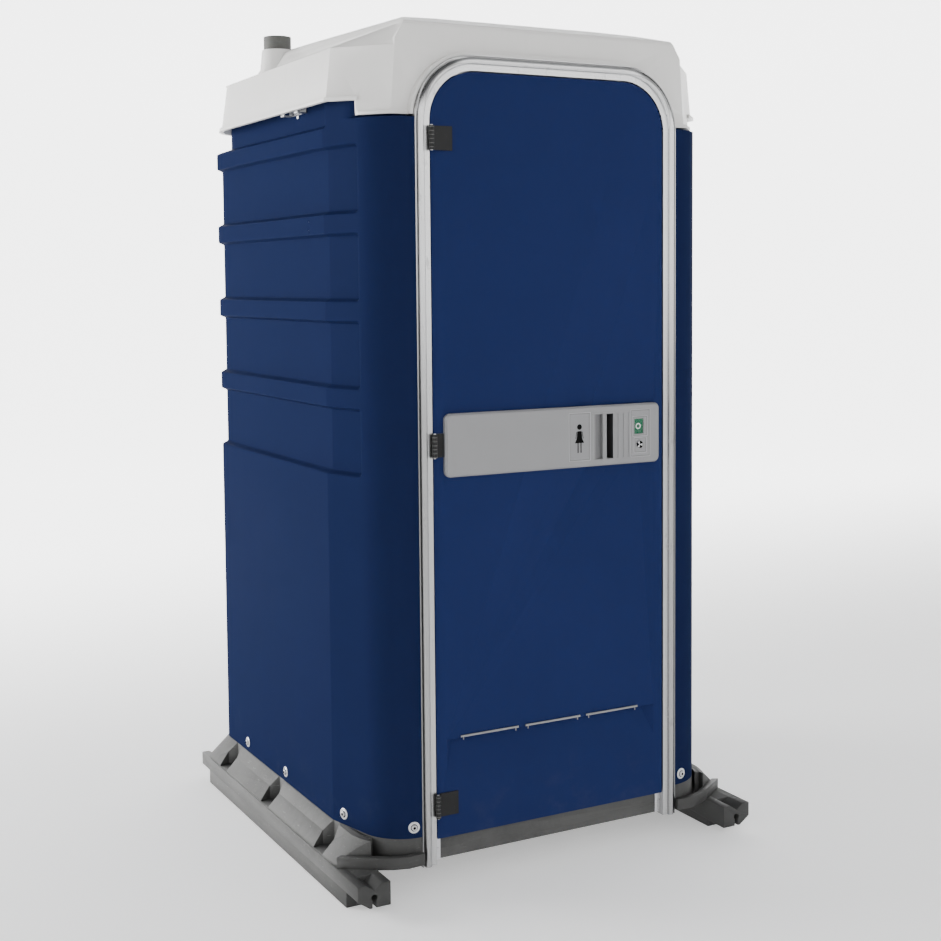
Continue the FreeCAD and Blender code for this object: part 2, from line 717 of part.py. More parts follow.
def base_pan():
    """Floor, upstand, plinth under the walls and the sloping flanges, in one moulding."""
    plinth_top = S.wall_bottom - S.seat_gap
    plinth = cabin_prism(0, S.skid_height, plinth_top)
    upstand = cabin_prism(S.wall_thick + S.seat_gap, S.skid_height, S.upstand_top)
    flange = side_flange().cut(corner_front_cut())
    right = flange.fuse(corner_bar()).cut(corner_gutter())
    for depth in (S.pocket_far, S.pocket_middle, S.pocket_near):
        right = right.cut(strap_pocket(depth))
    foot_cut = box_shape((S.base_half - S.skid_width, -FAR, 0), (FAR, FAR, S.skid_height))
    right = right.cut(foot_cut)
    pan = plinth.fuse([upstand, right, mirrored(right)])
    pan = pan.cut(cabin_prism(S.wall_thick + S.upstand_thick, S.floor_top, S.upstand_top + 1))
    frame_gap = S.frame_half + S.seat_gap
    doorway = S.doorway_half
    notch = box_shape((-frame_gap, -FAR, 0), (frame_gap, front(S.frame_depth + S.seat_gap), FAR))
    pan = pan.cut(notch)
    sill_back = front(S.sill_set + S.sill_thick + S.seat_gap)
    step = box_shape((-doorway, sill_back, S.skid_height), (doorway, front(90), S.floor_top))
    pan = pan.fuse(step)
    way_in = box_shape((-doorway, -FAR, S.floor_top), (doorway, front(90), FAR))
    rivet_room = []
    for side in (LEFT, RIGHT):
        spot = V(side * foot_rivet_x(), sill_back - 1, S.foot_rivet_z)
        rivet_room.append(Part.makeCylinder(S.rivet_radius, 4, spot, Y_AXIS))
    feature("base_pan", solid_of(pan.cut([way_in] + lip_room() + rivet_room + wall_bolt_parts()[2])))


def door_sill():
    """Angle over the front edge of the floor: a face and a tread."""
    body = new_body("door_sill")
    section = new_sketch(body, "sill_section", "YZ_Plane")
    face = "sill_set - front_set"
    back = "sill_set + sill_thick - front_set"
    top = "floor_top + seat_gap + sill_thick"
    tread = "sill_set + sill_tread - front_set"
    polygon(section, [
        (face, "sill_bottom"), (back, "sill_bottom"), (back, "floor_top + seat_gap"),
        (tread, "floor_top + seat_gap"), (tread, top), (face, top),
    ])
    pad(body, section, "2 * (doorway_half - 2 * seat_gap)", midplane=True)
    holes = new_sketch(body, "sill_rivet_holes", "XZ_Plane", "front_set - sill_set + 1")
    for side in (LEFT, RIGHT):
        middle = "%d * (doorway_half - foot_plate_width / 2)" % side
        circle(holes, middle, "foot_rivet_z", "rivet_shank")
    pocket(body, holes, "sill_thick + 2")
    for name, side in (("left", LEFT), ("right", RIGHT)):
        room = new_sketch(body, "stop_room_" + name, "XY_Plane", "floor_top - 1")
        inner = "%d * (doorway_half - stop_lip - seat_gap)" % side
        rectangle(room, inner, "%d * frame_half" % side,
                  "frame_depth - frame_wall - seat_gap - front_set", "frame_depth + seat_gap - front_set")
        pocket(body, room, "sill_thick + 4", reverse=True)


# Walls

def neck(inset, low, high):
    """Upright block that fits inside the roof's front corners."""
    plan = skirt_outline(S.roof_thick + S.neck_gap + inset, high)
    return Part.Face(plan).extrude(V(0, 0, low - high))


def plain_ring():
    """Walls as one ring, stepped in at the front corners to pass inside the roof."""
    thick = S.wall_thick
    step = S.apron_bottom - S.neck_gap - thick
    lower = wall_ring(0, thick, S.wall_bottom, step)
    hole = cabin_prism(thick, step - 1, S.wall_top + 1).common(neck(thick, step - 1, S.wall_top + 1))
    ledge = cabin_prism(0, step, step + thick)
    upper = cabin_prism(0, step + thick, S.wall_top).common(neck(0, step + thick, S.wall_top))
    return lower.fuse([ledge.fuse(upper).cut(hole)])


def behind_ramps(lead):
    """Everything behind the ramps at the panels' front ends, or further forward by lead."""
    start = S.panel_front - lead
    floor = S.wall_half - S.panel_depth
    side = floor + 100
    nose = front(start + S.panel_ramp * floor)
    edge = front(start - S.panel_ramp * 100)
    return prism([(0, nose), (side, edge), (side, FAR), (-side, FAR), (-side, edge)], 0, FAR)


def wall_panels():
    """Outer walls with recessed panels and the set-back band under the roof."""
    thick = S.wall_thick
    deep = S.panel_depth
    ring = plain_ring()
    behind_corner = behind_ramps(0)
    behind_lining = behind_ramps(1.6 * thick)
    linings = []
    hollows = []
    for i in range(int(S.panel_count)):
        low = S.panel_bottom + i * S.panel_pitch
        high = low + S.panel_height
        linings.append(wall_ring(thick / 2, deep + thick, low - thick, high + thick).common(behind_lining))
        hollows.append(wall_ring(-5, deep, low, high).common(behind_corner))
    behind_crease = box_shape((-FAR, front(S.facet_depth), 0), (FAR, FAR, FAR))
    before_crease = box_shape((-FAR, front(S.facet_depth - thick), 0), (FAR, FAR, FAR))
    low = S.top_recess_bottom
    inner = cabin_prism(deep + thick, low - thick, S.wall_top, S.top_rear_radius)
    lining = cabin_prism(thick / 2, low - thick, S.wall_top).cut(inner).common(before_crease)
    outer = cabin_prism(deep, low, S.wall_top + 1, S.top_rear_radius)
    hollow = cabin_prism(-5, low, S.wall_top + 1).cut(outer).common(behind_crease)
    hollows = Part.makeCompound(hollows + [hollow])
    return ring.fuse(linings + [lining]).cut(hollows), hollows


def rear_lap(low, high, depth, hollows):
    """Upright strip behind the right-hand seam, carried by a web from the rear wall."""
    face = front(S.wall_depth - depth - S.seat_gap)
    inner = S.side_joint - S.seam_lap
    strip = box_shape((inner, face - S.wall_thick, low), (S.side_joint + S.seam_lap, face, high))
    web = box_shape((inner, face - 1, low), (S.side_joint - 2, front(S.wall_depth - 2), high))
    return strip.fuse(web.cut(hollows))


def seam_spots():
    """Heights of the rear seam's rivets, with the depth of the wall's face at each."""
    spots = []
    for i in range(int(S.seam_rivet_count)):
        low = S.upstand_top + 95
        step = (S.panel_bottom - 100 - low) / (S.seam_rivet_count - 1)
        spots.append((low + i * step, 0))
    for i in range(int(S.panel_count)):
        spots.append((S.panel_bottom + S.panel_height / 2 + i * S.panel_pitch, S.panel_depth))
    return spots


def rivet(spot, direction, head, shank, length, tail):
    """A rivet with its head under the surface point's outside and its tail inside."""
    base = V(*spot)
    top = Part.makeCone(head, head * 0.6, head * 0.4, base, direction * -1)
    body = Part.makeCylinder(shank, length, base, direction)
    end = Part.makeCylinder(tail, head * 0.4, base + direction * length, direction)
    return top.fuse([body, end])


def seam_rivets(shank):
    """The rear seam's rivets, or with a wider shank the holes for them."""
    shapes = []
    x = S.side_joint + S.seam_lap / 2
    length = 2 * S.wall_thick + S.seat_gap
    for z, depth in seam_spots():
        one = rivet((x, front(S.wall_depth - depth), z), V(0, -1, 0), S.rivet_radius, shank, length,
                    S.rivet_radius * 0.9)
        shapes += [one, mirrored(one)]
    return shapes


def wall_fixings():
    """Outward direction and surface point of each wall bolt at the foot of the walls."""
    (x, y), radius, turn, (half, crease) = corner_end(0)
    spots = []
    for angle in (S.corner_bolt_angle,):
        out = V(math.cos(math.radians(angle)), math.sin(math.radians(angle)), 0)
        spots.append((V(x, y, S.bolt_z) + out * radius, out))
    out = V(math.cos(math.radians(turn)), math.sin(math.radians(turn)), 0)
    start = V(x, y, S.bolt_z) + out * radius
    along = V(half, crease, S.bolt_z) - start
    spots.append((start + along * S.facet_bolt_share, out))
    for depth in (S.side_bolt_near, S.side_bolt_far):
        spots.append((V(half, front(depth), S.bolt_z), X_AXIS))
    return spots


def wall_bolt_parts():
    """Washers, bolts and the holes that they need."""
    washers = []
    bolts = []
    holes = []
    grip = S.wall_thick + S.seat_gap + S.upstand_thick
    for spot, out in wall_fixings():
        washer = Part.makeCylinder(S.washer_radius, S.washer_thick, spot, out)
        washer = washer.cut(Part.makeCylinder(S.bolt_shank_radius, S.washer_thick, spot, out))
        head_spot = spot + out * S.washer_thick
        narrow = S.bolt_head_radius * 0.7
        head = Part.makeCone(S.bolt_head_radius, narrow, S.bolt_head_height, head_spot, out)
        shank = Part.makeCylinder(S.bolt_shank_radius, grip + S.washer_thick, head_spot, out * -1)
        nut = Part.makeCylinder(S.bolt_head_radius, 5, spot - out * grip, out * -1)
        bolt = head.fuse([shank, nut])
        hole = Part.makeCylinder(S.bolt_shank_radius + 0.05, 60, spot + out * 10, out * -1)
        washers += [washer, mirrored(washer)]
        bolts += [bolt, mirrored(bolt)]
        holes += [hole, mirrored(hole)]
    return washers, bolts, holes


def walls():
    """Left, right and rear wall panels, with the rear one lapped behind the side ones."""
    ring, hollows = wall_panels()
    frame_side = S.frame_half + S.seat_gap
    ring = ring.cut(box_shape((-frame_side, front(-60), 0), (frame_side, front(300), FAR)))
    rear_start = front(S.wall_depth - 200)
    seam = S.side_joint + S.seat_gap / 2
    right = ring.common(box_shape((0, -FAR, 0), (FAR, FAR, FAR)))
    right = right.cut(box_shape((0, rear_start, 0), (seam, FAR, FAR)))
    rivet_bore = S.rivet_shank + 0.05
    right = right.cut(seam_rivets(rivet_bore) + wall_bolt_parts()[2] + clip_rivets(rivet_bore))
    feature("wall_right", solid_of(right.cut(holder_screws(S.screw_radius + 0.05))))
    feature("wall_left", solid_of(mirrored(right).cut(hook_screws(S.screw_radius + 0.05))))
    edge = S.side_joint - S.seat_gap / 2
    rear = ring.common(box_shape((-edge, rear_start, 0), (edge, FAR, FAR)))
    low_lap = rear_lap(S.upstand_top + 5, S.panel_bottom - 2 * S.wall_thick, S.wall_thick, hollows)
    high_lap = rear_lap(S.panel_bottom, S.top_recess_bottom - 2 * S.wall_thick,
                        S.panel_depth + S.wall_thick, hollows)
    laps = [low_lap, high_lap, mirrored(low_lap), mirrored(high_lap)]
    feature("wall_rear", solid_of(rear.fuse(laps).cut(seam_rivets(rivet_bore))))



# Roof

def roof_outline(half, block_half, near, crease, far, radius, z):
    """Plan of the roof at one height: front face, corner facets, sides and round rear corners."""
    edges = [
        line((-block_half, near, z), (block_half, near, z)),
        line((block_half, near, z), (half, crease, z)),
        line((half, crease, z), (half, far - radius, z)),
        corner_arc((half - radius, far - radius), radius, 0, 90, z),
        line((half - radius, far, z), (radius - half, far, z)),
        corner_arc((radius - half, far - radius), radius, 90, 180, z),
        line((-half, far - radius, z), (-half, crease, z)),
        line((-half, crease, z), (-block_half, near, z)),
    ]
    return Part.Wire(edges)


def lean_at(z):
    """How far the skirt has leaned in at a height."""
    return S.skirt_lean * (z - S.roof_bottom) / (S.shoulder_low - S.roof_bottom)


def skirt_outline(inset, z):
    """The roof's lower part, which leans in upwards at its sides and rear."""
    lean = lean_at(z)
    half = S.roof_half - inset - lean
    block_half = S.block_half - inset / 2 - lean * S.block_lean / S.skirt_lean
    far = front(S.wall_depth + S.roof_overhang - inset - lean)
    return roof_outline(half, block_half, front(S.roof_front + inset), front(S.roof_crease + inset / 2), far,
                        S.roof_rear_radius - inset, z)


def skirt_solid(inset, low, high):
    return Part.makeLoft([skirt_outline(inset, low), skirt_outline(inset, high)], True, True)


def shoulder_foot(inset, z):
    """Where the shoulder rises from the skirt: its rear end stands ahead of the skirt's."""
    half = S.roof_half - lean_at(z) - inset
    block_half = S.block_half - S.block_lean - inset / 2
    return roof_outline(half, block_half, front(S.roof_front + inset), front(S.roof_crease + inset / 2),
                        front(S.hood_depth + S.shoulder_end - inset), S.hood_radius + 20 - inset, z)


def shoulder_outline(inset, z):
    half = S.roof_half - S.hood_inset - inset
    block_half = S.block_half - S.hood_lean - 1 - inset
    return roof_outline(half, block_half, front(S.roof_front + 1 + inset),
                        front(S.roof_crease / 2), front(S.hood_depth - inset), S.hood_radius - inset, z)


def hood(inset):
    """The raised middle of the roof: one section across and one along, both kept."""
    half = S.block_half - inset
    low = S.apron_bottom - 80
    ridge = S.crown_top - inset
    foot = S.roof_bottom
    bend = S.shoulder_low + 15 - inset
    waist = half - S.block_lean
    edge = half - S.hood_lean
    brow = ridge - S.hood_brow
    eave = edge - S.hood_eave
    shelf = ridge - S.hood_fall
    middle = ((edge + eave) / 2 + 4, (brow + shelf) / 2 + 5)
    y = front(0)
    right = [
        line((half, y, low), (half, y, foot)),
        line((half, y, foot), (waist, y, bend)),
        line((waist, y, bend), (edge, y, brow)),
        arc((edge, y, brow), (middle[0], y, middle[1]), (eave, y, shelf)),
    ]
    left = [
        arc((-eave, y, shelf), (-middle[0], y, middle[1]), (-edge, y, brow)),
        line((-edge, y, brow), (-waist, y, bend)),
        line((-waist, y, bend), (-half, y, foot)),
        line((-half, y, foot), (-half, y, low)),
    ]
    crown = [arc((eave, y, shelf), (0, y, ridge - S.hood_crown), (-eave, y, shelf))]
    sole = [line((-half, y, low), (half, y, low))]
    across = Part.Face(Part.Wire(right + crown + left + sole)).extrude(V(0, FAR, FAR * S.hood_rise))
    near = front(S.roof_front + inset)
    crease = S.shoulder_high - inset
    slope_end = near + S.hood_slope
    end = front(S.hood_depth - inset)
    x = -FAR / 2
    edges = [
        line((x, near, low), (x, near, crease - 8)),
        arc((x, near, crease - 8), (x, near + 3, crease - 1), (x, near + 12, crease + 4)),
        line((x, near + 12, crease + 4), (x, slope_end, ridge - 4)),
        arc((x, slope_end, ridge - 4), (x, slope_end + 60, ridge - 1), (x, slope_end + 180, ridge)),
        line((x, slope_end + 180, ridge), (x, end - 120, ridge)),
        arc((x, end - 120, ridge), (x, end - 34, ridge - 26), (x, end, S.shoulder_low)),
        line((x, end, S.shoulder_low), (x, end, low)),
        line((x, end, low), (x, near, low)),
    ]
    along = Part.Face(Part.Wire(edges)).extrude(V(FAR, 0, 0))
    return across.common(along)


def roof_solid(inset):
    """Skirt, sloping shoulder and hood, moved inwards."""
    low = S.apron_bottom - 1
    bend = S.shoulder_low - inset
    skirt = skirt_solid(inset, low, bend)
    foot = shoulder_foot(inset + S.shoulder_ledge, bend)
    shoulder = Part.makeLoft([foot, shoulder_outline(inset, S.shoulder_high - inset)], True, True)
    return skirt.fuse([shoulder, hood(inset)])


def pipe_collar(outer, low, high, radius):
    """A tapering collar on the vent pipe's axis."""
    spot = V(S.pipe_x, front(S.pipe_depth), low)
    return Part.makeCone(radius + outer, radius, high - low, spot)


def roof_lips():
    """The lips that stand out along the lower edges of the skirt and of the deeper front corners."""
    lips = []
    corner = box_shape((-S.apron_half, -FAR, 0), (S.apron_half, front(S.roof_crease - 40), FAR))
    for low in (S.roof_bottom, S.apron_bottom):
        high = low + S.lip_high
        ring = skirt_solid(-S.lip_out, low, high).cut(skirt_solid(S.roof_thick / 2, low, high))
        lips.append(ring.common(corner) if low == S.apron_bottom else ring.cut(corner))
    return lips


def roof_shell():
    """The roof moulding, open below, with a collar for the vent pipe and a rim round the frame."""
    outer = roof_solid(0)
    collar_low = S.shoulder_low + 10
    radius = S.pipe_shank + S.seat_gap + S.collar_wall
    outer = outer.fuse(pipe_collar(S.collar_flare, collar_low, S.collar_top, radius))
    rim_half = S.frame_half + S.seat_gap + S.rim_width
    rim_top = S.frame_top + S.seat_gap + S.rim_width
    rim_radius = S.frame_radius + S.frame_width + S.rim_width
    rim = frame_opening(rim_half, rim_top, rim_radius, S.rim_front, S.roof_front + 20)
    outer = outer.fuse(rim)
    shell = outer.cut(roof_solid(S.roof_thick))
    spot = V(S.pipe_x, front(S.pipe_depth), S.shoulder_low - 60)
    shell = shell.cut(Part.makeCylinder(S.pipe_shank + S.seat_gap, FAR, spot))
    hole = frame_opening(S.frame_half + S.seat_gap, S.frame_top + S.seat_gap,
                         S.frame_radius + S.frame_width, -50, S.frame_depth + 30)
    shell = shell.fuse(roof_lips()).cut(hole)
    side_low = box_shape((-FAR, -FAR, S.apron_bottom - 90), (-S.apron_half, FAR, S.roof_bottom))
    rear_low = box_shape((-FAR, front(S.roof_crease - 40), S.apron_bottom - 90), (FAR, FAR, S.roof_bottom))
    under = box_shape((-FAR, -FAR, S.apron_bottom - 90), (FAR, FAR, S.apron_bottom))
    shell = shell.cut([side_low, mirrored(side_low), rear_low, under])
    ledge = roof_ledge()
    shell = shell.fuse(ledge)
    feature("roof_shell", solid_of(shell))


def frame_opening(half, top, radius, near_depth, far_depth):
    """An upright slab with round upper corners, as wide as the door frame or a rim round it."""
    low = top - radius - 60
    near = front(near_depth)
    corner = half - radius
    edges = [
        line((-half, near, low), (half, near, low)),
        line((half, near, low), (half, near, top - radius)),
        Part.Arc(V(half, near, top - radius),
                 V(corner + radius * math.sqrt(0.5), near, top - radius + radius * math.sqrt(0.5)),
                 V(corner, near, top)).toShape(),
        line((corner, near, top), (-corner, near, top)),
        Part.Arc(V(-corner, near, top),
                 V(-corner - radius * math.sqrt(0.5), near, top - radius + radius * math.sqrt(0.5)),
                 V(-half, near, top - radius)).toShape(),
        line((-half, near, top - radius), (-half, near, low)),
    ]
    return Part.Face(Part.Wire(edges)).extrude(V(0, far_depth - near_depth, 0))


def roof_ledge():
    """Inner ledge that sits on the walls' upper edges."""
    low = S.wall_top + S.seat_gap
    outer = Part.Face(skirt_outline(S.roof_thick / 2, low))
    ledge = outer.extrude(V(0, 0, S.roof_thick))
    hole = cabin_prism(S.wall_thick + S.panel_depth + 2, low - 1, low + S.roof_thick + 1, S.top_rear_radius)
    ledge = ledge.cut(hole)
    doorway = box_shape((-S.block_half + 20, front(-50), low - 1), (S.block_half - 20, front(120), low + 50))
    return ledge.cut(doorway)


# Door frame

def frame_profile():
    """Section of the aluminium frame at the foot of its left leg, open towards the cabin."""
    outer = -S.frame_half
    wall = S.frame_wall
    start = outer + S.bead_start
    end = outer + S.bead_end
    inner = outer + S.frame_width
    z = S.frame_bottom
    crest = (start + end) / 2
    face = 2
    edges = [
        line((outer, front(S.frame_depth), z), (outer, front(1), z)),
        line((outer, front(1), z), (outer + wall, front(1), z)),
        line((outer + wall, front(1), z), (outer + wall, front(7), z)),
        line((outer + wall, front(7), z), (start, front(7), z)),
        line((start, front(7), z), (start, front(0), z)),
        arc((start, front(0), z), (crest, front(-S.bead_height), z), (end, front(0), z)),
        line((end, front(0), z), (end, front(face), z)),
        line((end, front(face), z), (inner, front(face), z)),
    ]
    lip = front(S.frame_depth - wall)
    points = [
        (inner, front(face)), (inner, lip), (inner + S.stop_lip, lip),
        (inner + S.stop_lip, front(S.frame_depth)),
        (inner - wall, front(S.frame_depth)), (inner - wall, front(10)), (outer + wall, front(10)),
        (outer + wall, front(S.frame_depth)), (outer, front(S.frame_depth)),
    ]
    for (ax, ay), (bx, by) in zip(points[:-1], points[1:]):
        edges.append(line((ax, ay, z), (bx, by, z)))
    return Part.Wire(edges)


def door_frame():
    """One extrusion bent round the doorway: up, over and down."""
    half = S.frame_half
    radius = S.frame_radius + S.frame_width
    top = S.frame_top
    y = front(0)
    bend = radius * math.sqrt(0.5)
    knee = top - radius
    corner = half - radius
    path = Part.Wire([
        line((-half, y, S.frame_bottom), (-half, y, knee)),
        arc((-half, y, knee), (-corner - bend, y, knee + bend), (-corner, y, top)),
        line((-corner, y, top), (corner, y, top)),
        arc((corner, y, top), (corner + bend, y, knee + bend), (half, y, knee)),
        line((half, y, knee), (half, y, S.frame_bottom)),
    ])
    feature("door_frame", path.makePipeShell([frame_profile()], True, False))


def foot_rivet_x():
    return S.doorway_half - S.foot_plate_width / 2


def foot_rivets(shank):
    """Rivets through the plates at the foot of the frame, or the holes for them."""
    spot = (foot_rivet_x(), front(S.sill_set - S.foot_plate_thick), S.foot_rivet_z)
    length = S.foot_plate_thick + S.sill_thick
    one = rivet(spot, Y_AXIS, S.rivet_radius, shank, length, S.rivet_radius * 0.8)
    return [one, mirrored(one)]


def jamb_foot_plates():
    """Plates that tie the frame's feet to the sill, and their rivets."""
    outer = S.doorway_half - S.seat_gap
    near = front(S.sill_set - S.foot_plate_thick)
    plate = box_shape((outer - S.foot_plate_width, near, S.sill_bottom),
                      (outer, front(S.sill_set), S.sill_bottom + S.foot_plate_height))
    holes = foot_rivets(S.rivet_shank)
    plates = [plate.cut(holes), mirrored(plate).cut(holes)]
    feature("jamb_foot_plates", Part.makeCompound(plates))
    feature("jamb_foot_rivets", Part.makeCompound(foot_rivets(S.rivet_shank)))


# Wall and roof fixings

def wall_fixing_groups():
    washers, bolts, holes = wall_bolt_parts()
    feature("wall_washers", Part.makeCompound(washers))
    feature("wall_bolts", Part.makeCompound(bolts))
    feature("wall_seam_rivets", Part.makeCompound(seam_rivets(S.rivet_shank)))


def clip_rivets(shank):
    """The roof clips' rivets through the walls, or the holes for them."""
    face = S.wall_half - S.panel_depth + S.clip_thick
    spot = (face, front(S.clip_depth + S.clip_length / 2), S.clip_rivet_z)
    length = S.wall_thick + S.clip_thick
    one = rivet(spot, V(-1, 0, 0), S.rivet_radius, shank, length, S.rivet_radius * 0.9)
    return [one, mirrored(one)]


def roof_clips():
    """Small brackets under the skirt that hold the roof to the side walls."""
    face = S.wall_half - S.panel_depth
    near = front(S.clip_depth)
    far = near + S.clip_length
    middle = (near + far) / 2
    thick = S.clip_thick
    plate = box_shape((face, near, S.clip_low), (face + thick, far, S.wall_top - 4))
    tongue = box_shape((face, middle - S.rivet_radius - 2, S.clip_rivet_z - S.rivet_radius - 2),
                       (face + thick, middle + S.rivet_radius + 2, S.clip_low + 1))
    tab_top = S.clip_low + S.clip_tab
    reach = S.roof_half - lean_at(tab_top) - S.roof_thick - S.seat_gap
    tabs = []
    for start in (near, far - S.clip_tab_width):
        end = start + S.clip_tab_width
        tabs.append(box_shape((face, start, S.clip_low), (reach, end, S.clip_low + thick)))
        tabs.append(box_shape((reach - thick, start, S.clip_low), (reach, end, tab_top)))
    clip = solid_of(plate.fuse([tongue] + tabs).cut(clip_rivets(S.rivet_shank)))
    feature("roof_clips", Part.makeCompound([clip, mirrored(clip)]))
    feature("roof_clip_rivets", Part.makeCompound(clip_rivets(S.rivet_shank)))


# Vent pipe

def vent_pipe():
    """A long tube with a wider end that rests over the roof's collar."""
    body = new_body("vent_pipe")
    shank = new_sketch(body, "pipe_shank_ring", "XY_Plane", "tank_top - socket_depth")
    circle(shank, "pipe_x", "pipe_depth - front_set", "pipe_shank")
    circle(shank, "pipe_x", "pipe_depth - front_set", "pipe_shank - pipe_wall")
    pad(body, shank, "pipe_top - tank_top + socket_depth")
    head = new_sketch(body, "pipe_head_ring", "XY_Plane", "collar_top + seat_gap")
    circle(head, "pipe_x", "pipe_depth - front_set", "pipe_radius")
    circle(head, "pipe_x", "pipe_depth - front_set", "pipe_shank - pipe_wall")
    pad(body, head, "pipe_top - collar_top - seat_gap")


# Door

def door_plate(inset, near_depth, far_depth):
    """An upright slab with the door's outline, moved inwards by inset."""
    half = S.doorway_half - S.door_gap - inset
    top = S.frame_top - S.frame_width - S.door_gap - inset
    radius = S.frame_radius - S.door_gap - inset
    slab = frame_opening(half, top, radius, near_depth, far_depth)
    low = S.door_bottom + inset
    leg = box_shape((-half, front(near_depth), low), (half, front(far_depth), top - radius - 30))
    return slab.fuse(leg)


def foot_recess(wall):
    """The wedge cut into the door above its foot; with a wall, the skin's body round that wedge."""
    face = front(S.door_set) - 1 + wall
    top = S.foot_recess_top + wall
    deep = front(S.door_set) + S.foot_recess_depth + wall
    low = S.foot_recess_bottom - wall
    left = S.foot_recess_left - wall
    right = S.foot_recess_right + wall
    slant = S.foot_recess_depth
    near = Part.makePolygon([V(left, face, low), V(right, face, low), V(right, face, top),
                             V(left, face, top), V(left, face, low)])
    back = Part.makePolygon([V(left + slant, deep, top - 2), V(right - slant, deep, top - 2),
                             V(right - slant, deep, top), V(left + slant, deep, top),
                             V(left + slant, deep, top - 2)])
    return Part.makeLoft([near, back], True, True)


def lock_holes(near_depth, far_depth):
    """Holes through a door skin for the lock spindle and for the flag's rod."""
    long = front(far_depth) - front(near_depth) + 2
    spindle = Part.makeCylinder(S.spindle_radius + S.spindle_play, long,
                                V(S.lock_x, front(near_depth) - 1, S.lock_z), Y_AXIS)
    half = S.rod_radius + S.spindle_play
    slot = box_shape((S.rod_x - half, front(near_depth) - 1, S.rod_z - half),
                     (S.rod_x + S.bolt_travel + half, front(far_depth) + 1, S.rod_z + half))
    return spindle.fuse(slot)


def case_screws(shank):
    """Screws of the latch case, or the holes for them."""
    shapes = []
    for x in (S.case_left + 20, S.case_right - 20):
        for z in (S.case_low - S.case_flange / 2, S.case_high + S.case_flange / 2):
            y = front(S.door_set + S.door_thick + S.case_wall)
            head = Part.makeCylinder(S.rivet_radius, 2.5, V(x, y, z), Y_AXIS)
            long = S.case_wall + S.liner_thick + 4
            shapes.append(head.fuse(Part.makeCylinder(shank, long, V(x, y, z), V(0, -1, 0))))
    return shapes


def door_skins():
    """Outer skin with returned edges, and the flat inner skin that closes it."""
    liner_face = S.door_set + S.door_thick - S.liner_thick
    skin = S.door_skin
    hollow = door_plate(skin, S.door_set + skin, liner_face + 1)
    panel = door_plate(0, S.door_set, liner_face).cut(hollow.cut(foot_recess(skin)))
    panel = panel.cut([foot_recess(0), lock_holes(S.door_set, S.door_set + skin)])
    gap = S.seat_gap
    wall = S.cup_wall
    cup = box_shape((S.cup_left - wall - gap, front(0), S.cup_low - wall - gap),
                    (S.cup_right + wall + gap, front(S.door_set + skin + 1), S.cup_high + wall + gap))
    feature("door_panel", solid_of(panel.cut(cup)))
    liner = door_plate(0, liner_face, S.door_set + S.door_thick)
    liner = liner.cut([lock_holes(liner_face, S.door_set + S.door_thick)] + case_screws(S.screw_radius))
    feature("door_liner", solid_of(liner))


def drip_strips():
    """Three strips over the foot recess, each with two pegs under it."""
    strips = []
    pegs = []
    near = front(S.door_set) - S.strip_thick
    for left, right in ((-281, -110), (-89, 81), (100, 266)):
        low = S.foot_recess_top + 1
        strips.append(box_shape((left, near, low), (right, front(S.door_set), low + S.strip_height)))
        for x in (left + 8, right - 8):
            spot = V(x, near + S.peg_radius, low)
            pegs.append(Part.makeCylinder(S.peg_radius, S.peg_length, spot, V(0, 0, -1)))
    feature("drip_strips", Part.makeCompound(strips))
    feature("drip_strip_pegs", Part.makeCompound(pegs))


# Hinges

HINGES = [("low", "hinge_low"), ("mid", "hinge_mid"), ("high", "hinge_high")]


def knuckles(name, middle, spots, bore):
    """Barrels of one leaf, numbered upwards from the foot of the hinge."""
    shapes = []
    axis_y = "-hinge_forward - front_set"
    for i in spots:
        low = "%s + (%d * knuckle_height) + seat_gap / 2" % (middle, i - 2)
        tall = "knuckle_height - seat_gap"
        barrel = rod("%s_barrel_%d" % (name, i), "knuckle_radius", tall, "hinge_x", axis_y, low)
        hole = rod("%s_bore_%d" % (name, i), bore, tall, "hinge_x", axis_y, low)
        shapes.append((barrel, hole, low, tall))
    return shapes


def hinge_leaf(name, middle, spots, bore, plate, web):
    """A flat leaf with barrels on webs, bored for the pin."""
    solids = [plate]
    holes = []
    for i, (barrel, hole, low, tall) in enumerate(knuckles(name, middle, spots, bore)):
        arm = block("%s_arm_%d" % (name, i), web[0], web[1], low, web[2], web[3], tall)
        solids += [barrel, arm]
        holes.append(hole)
    body = fuse(name + "_body", solids)
    node(cut(name, body, group(name + "_bores", holes)), name)


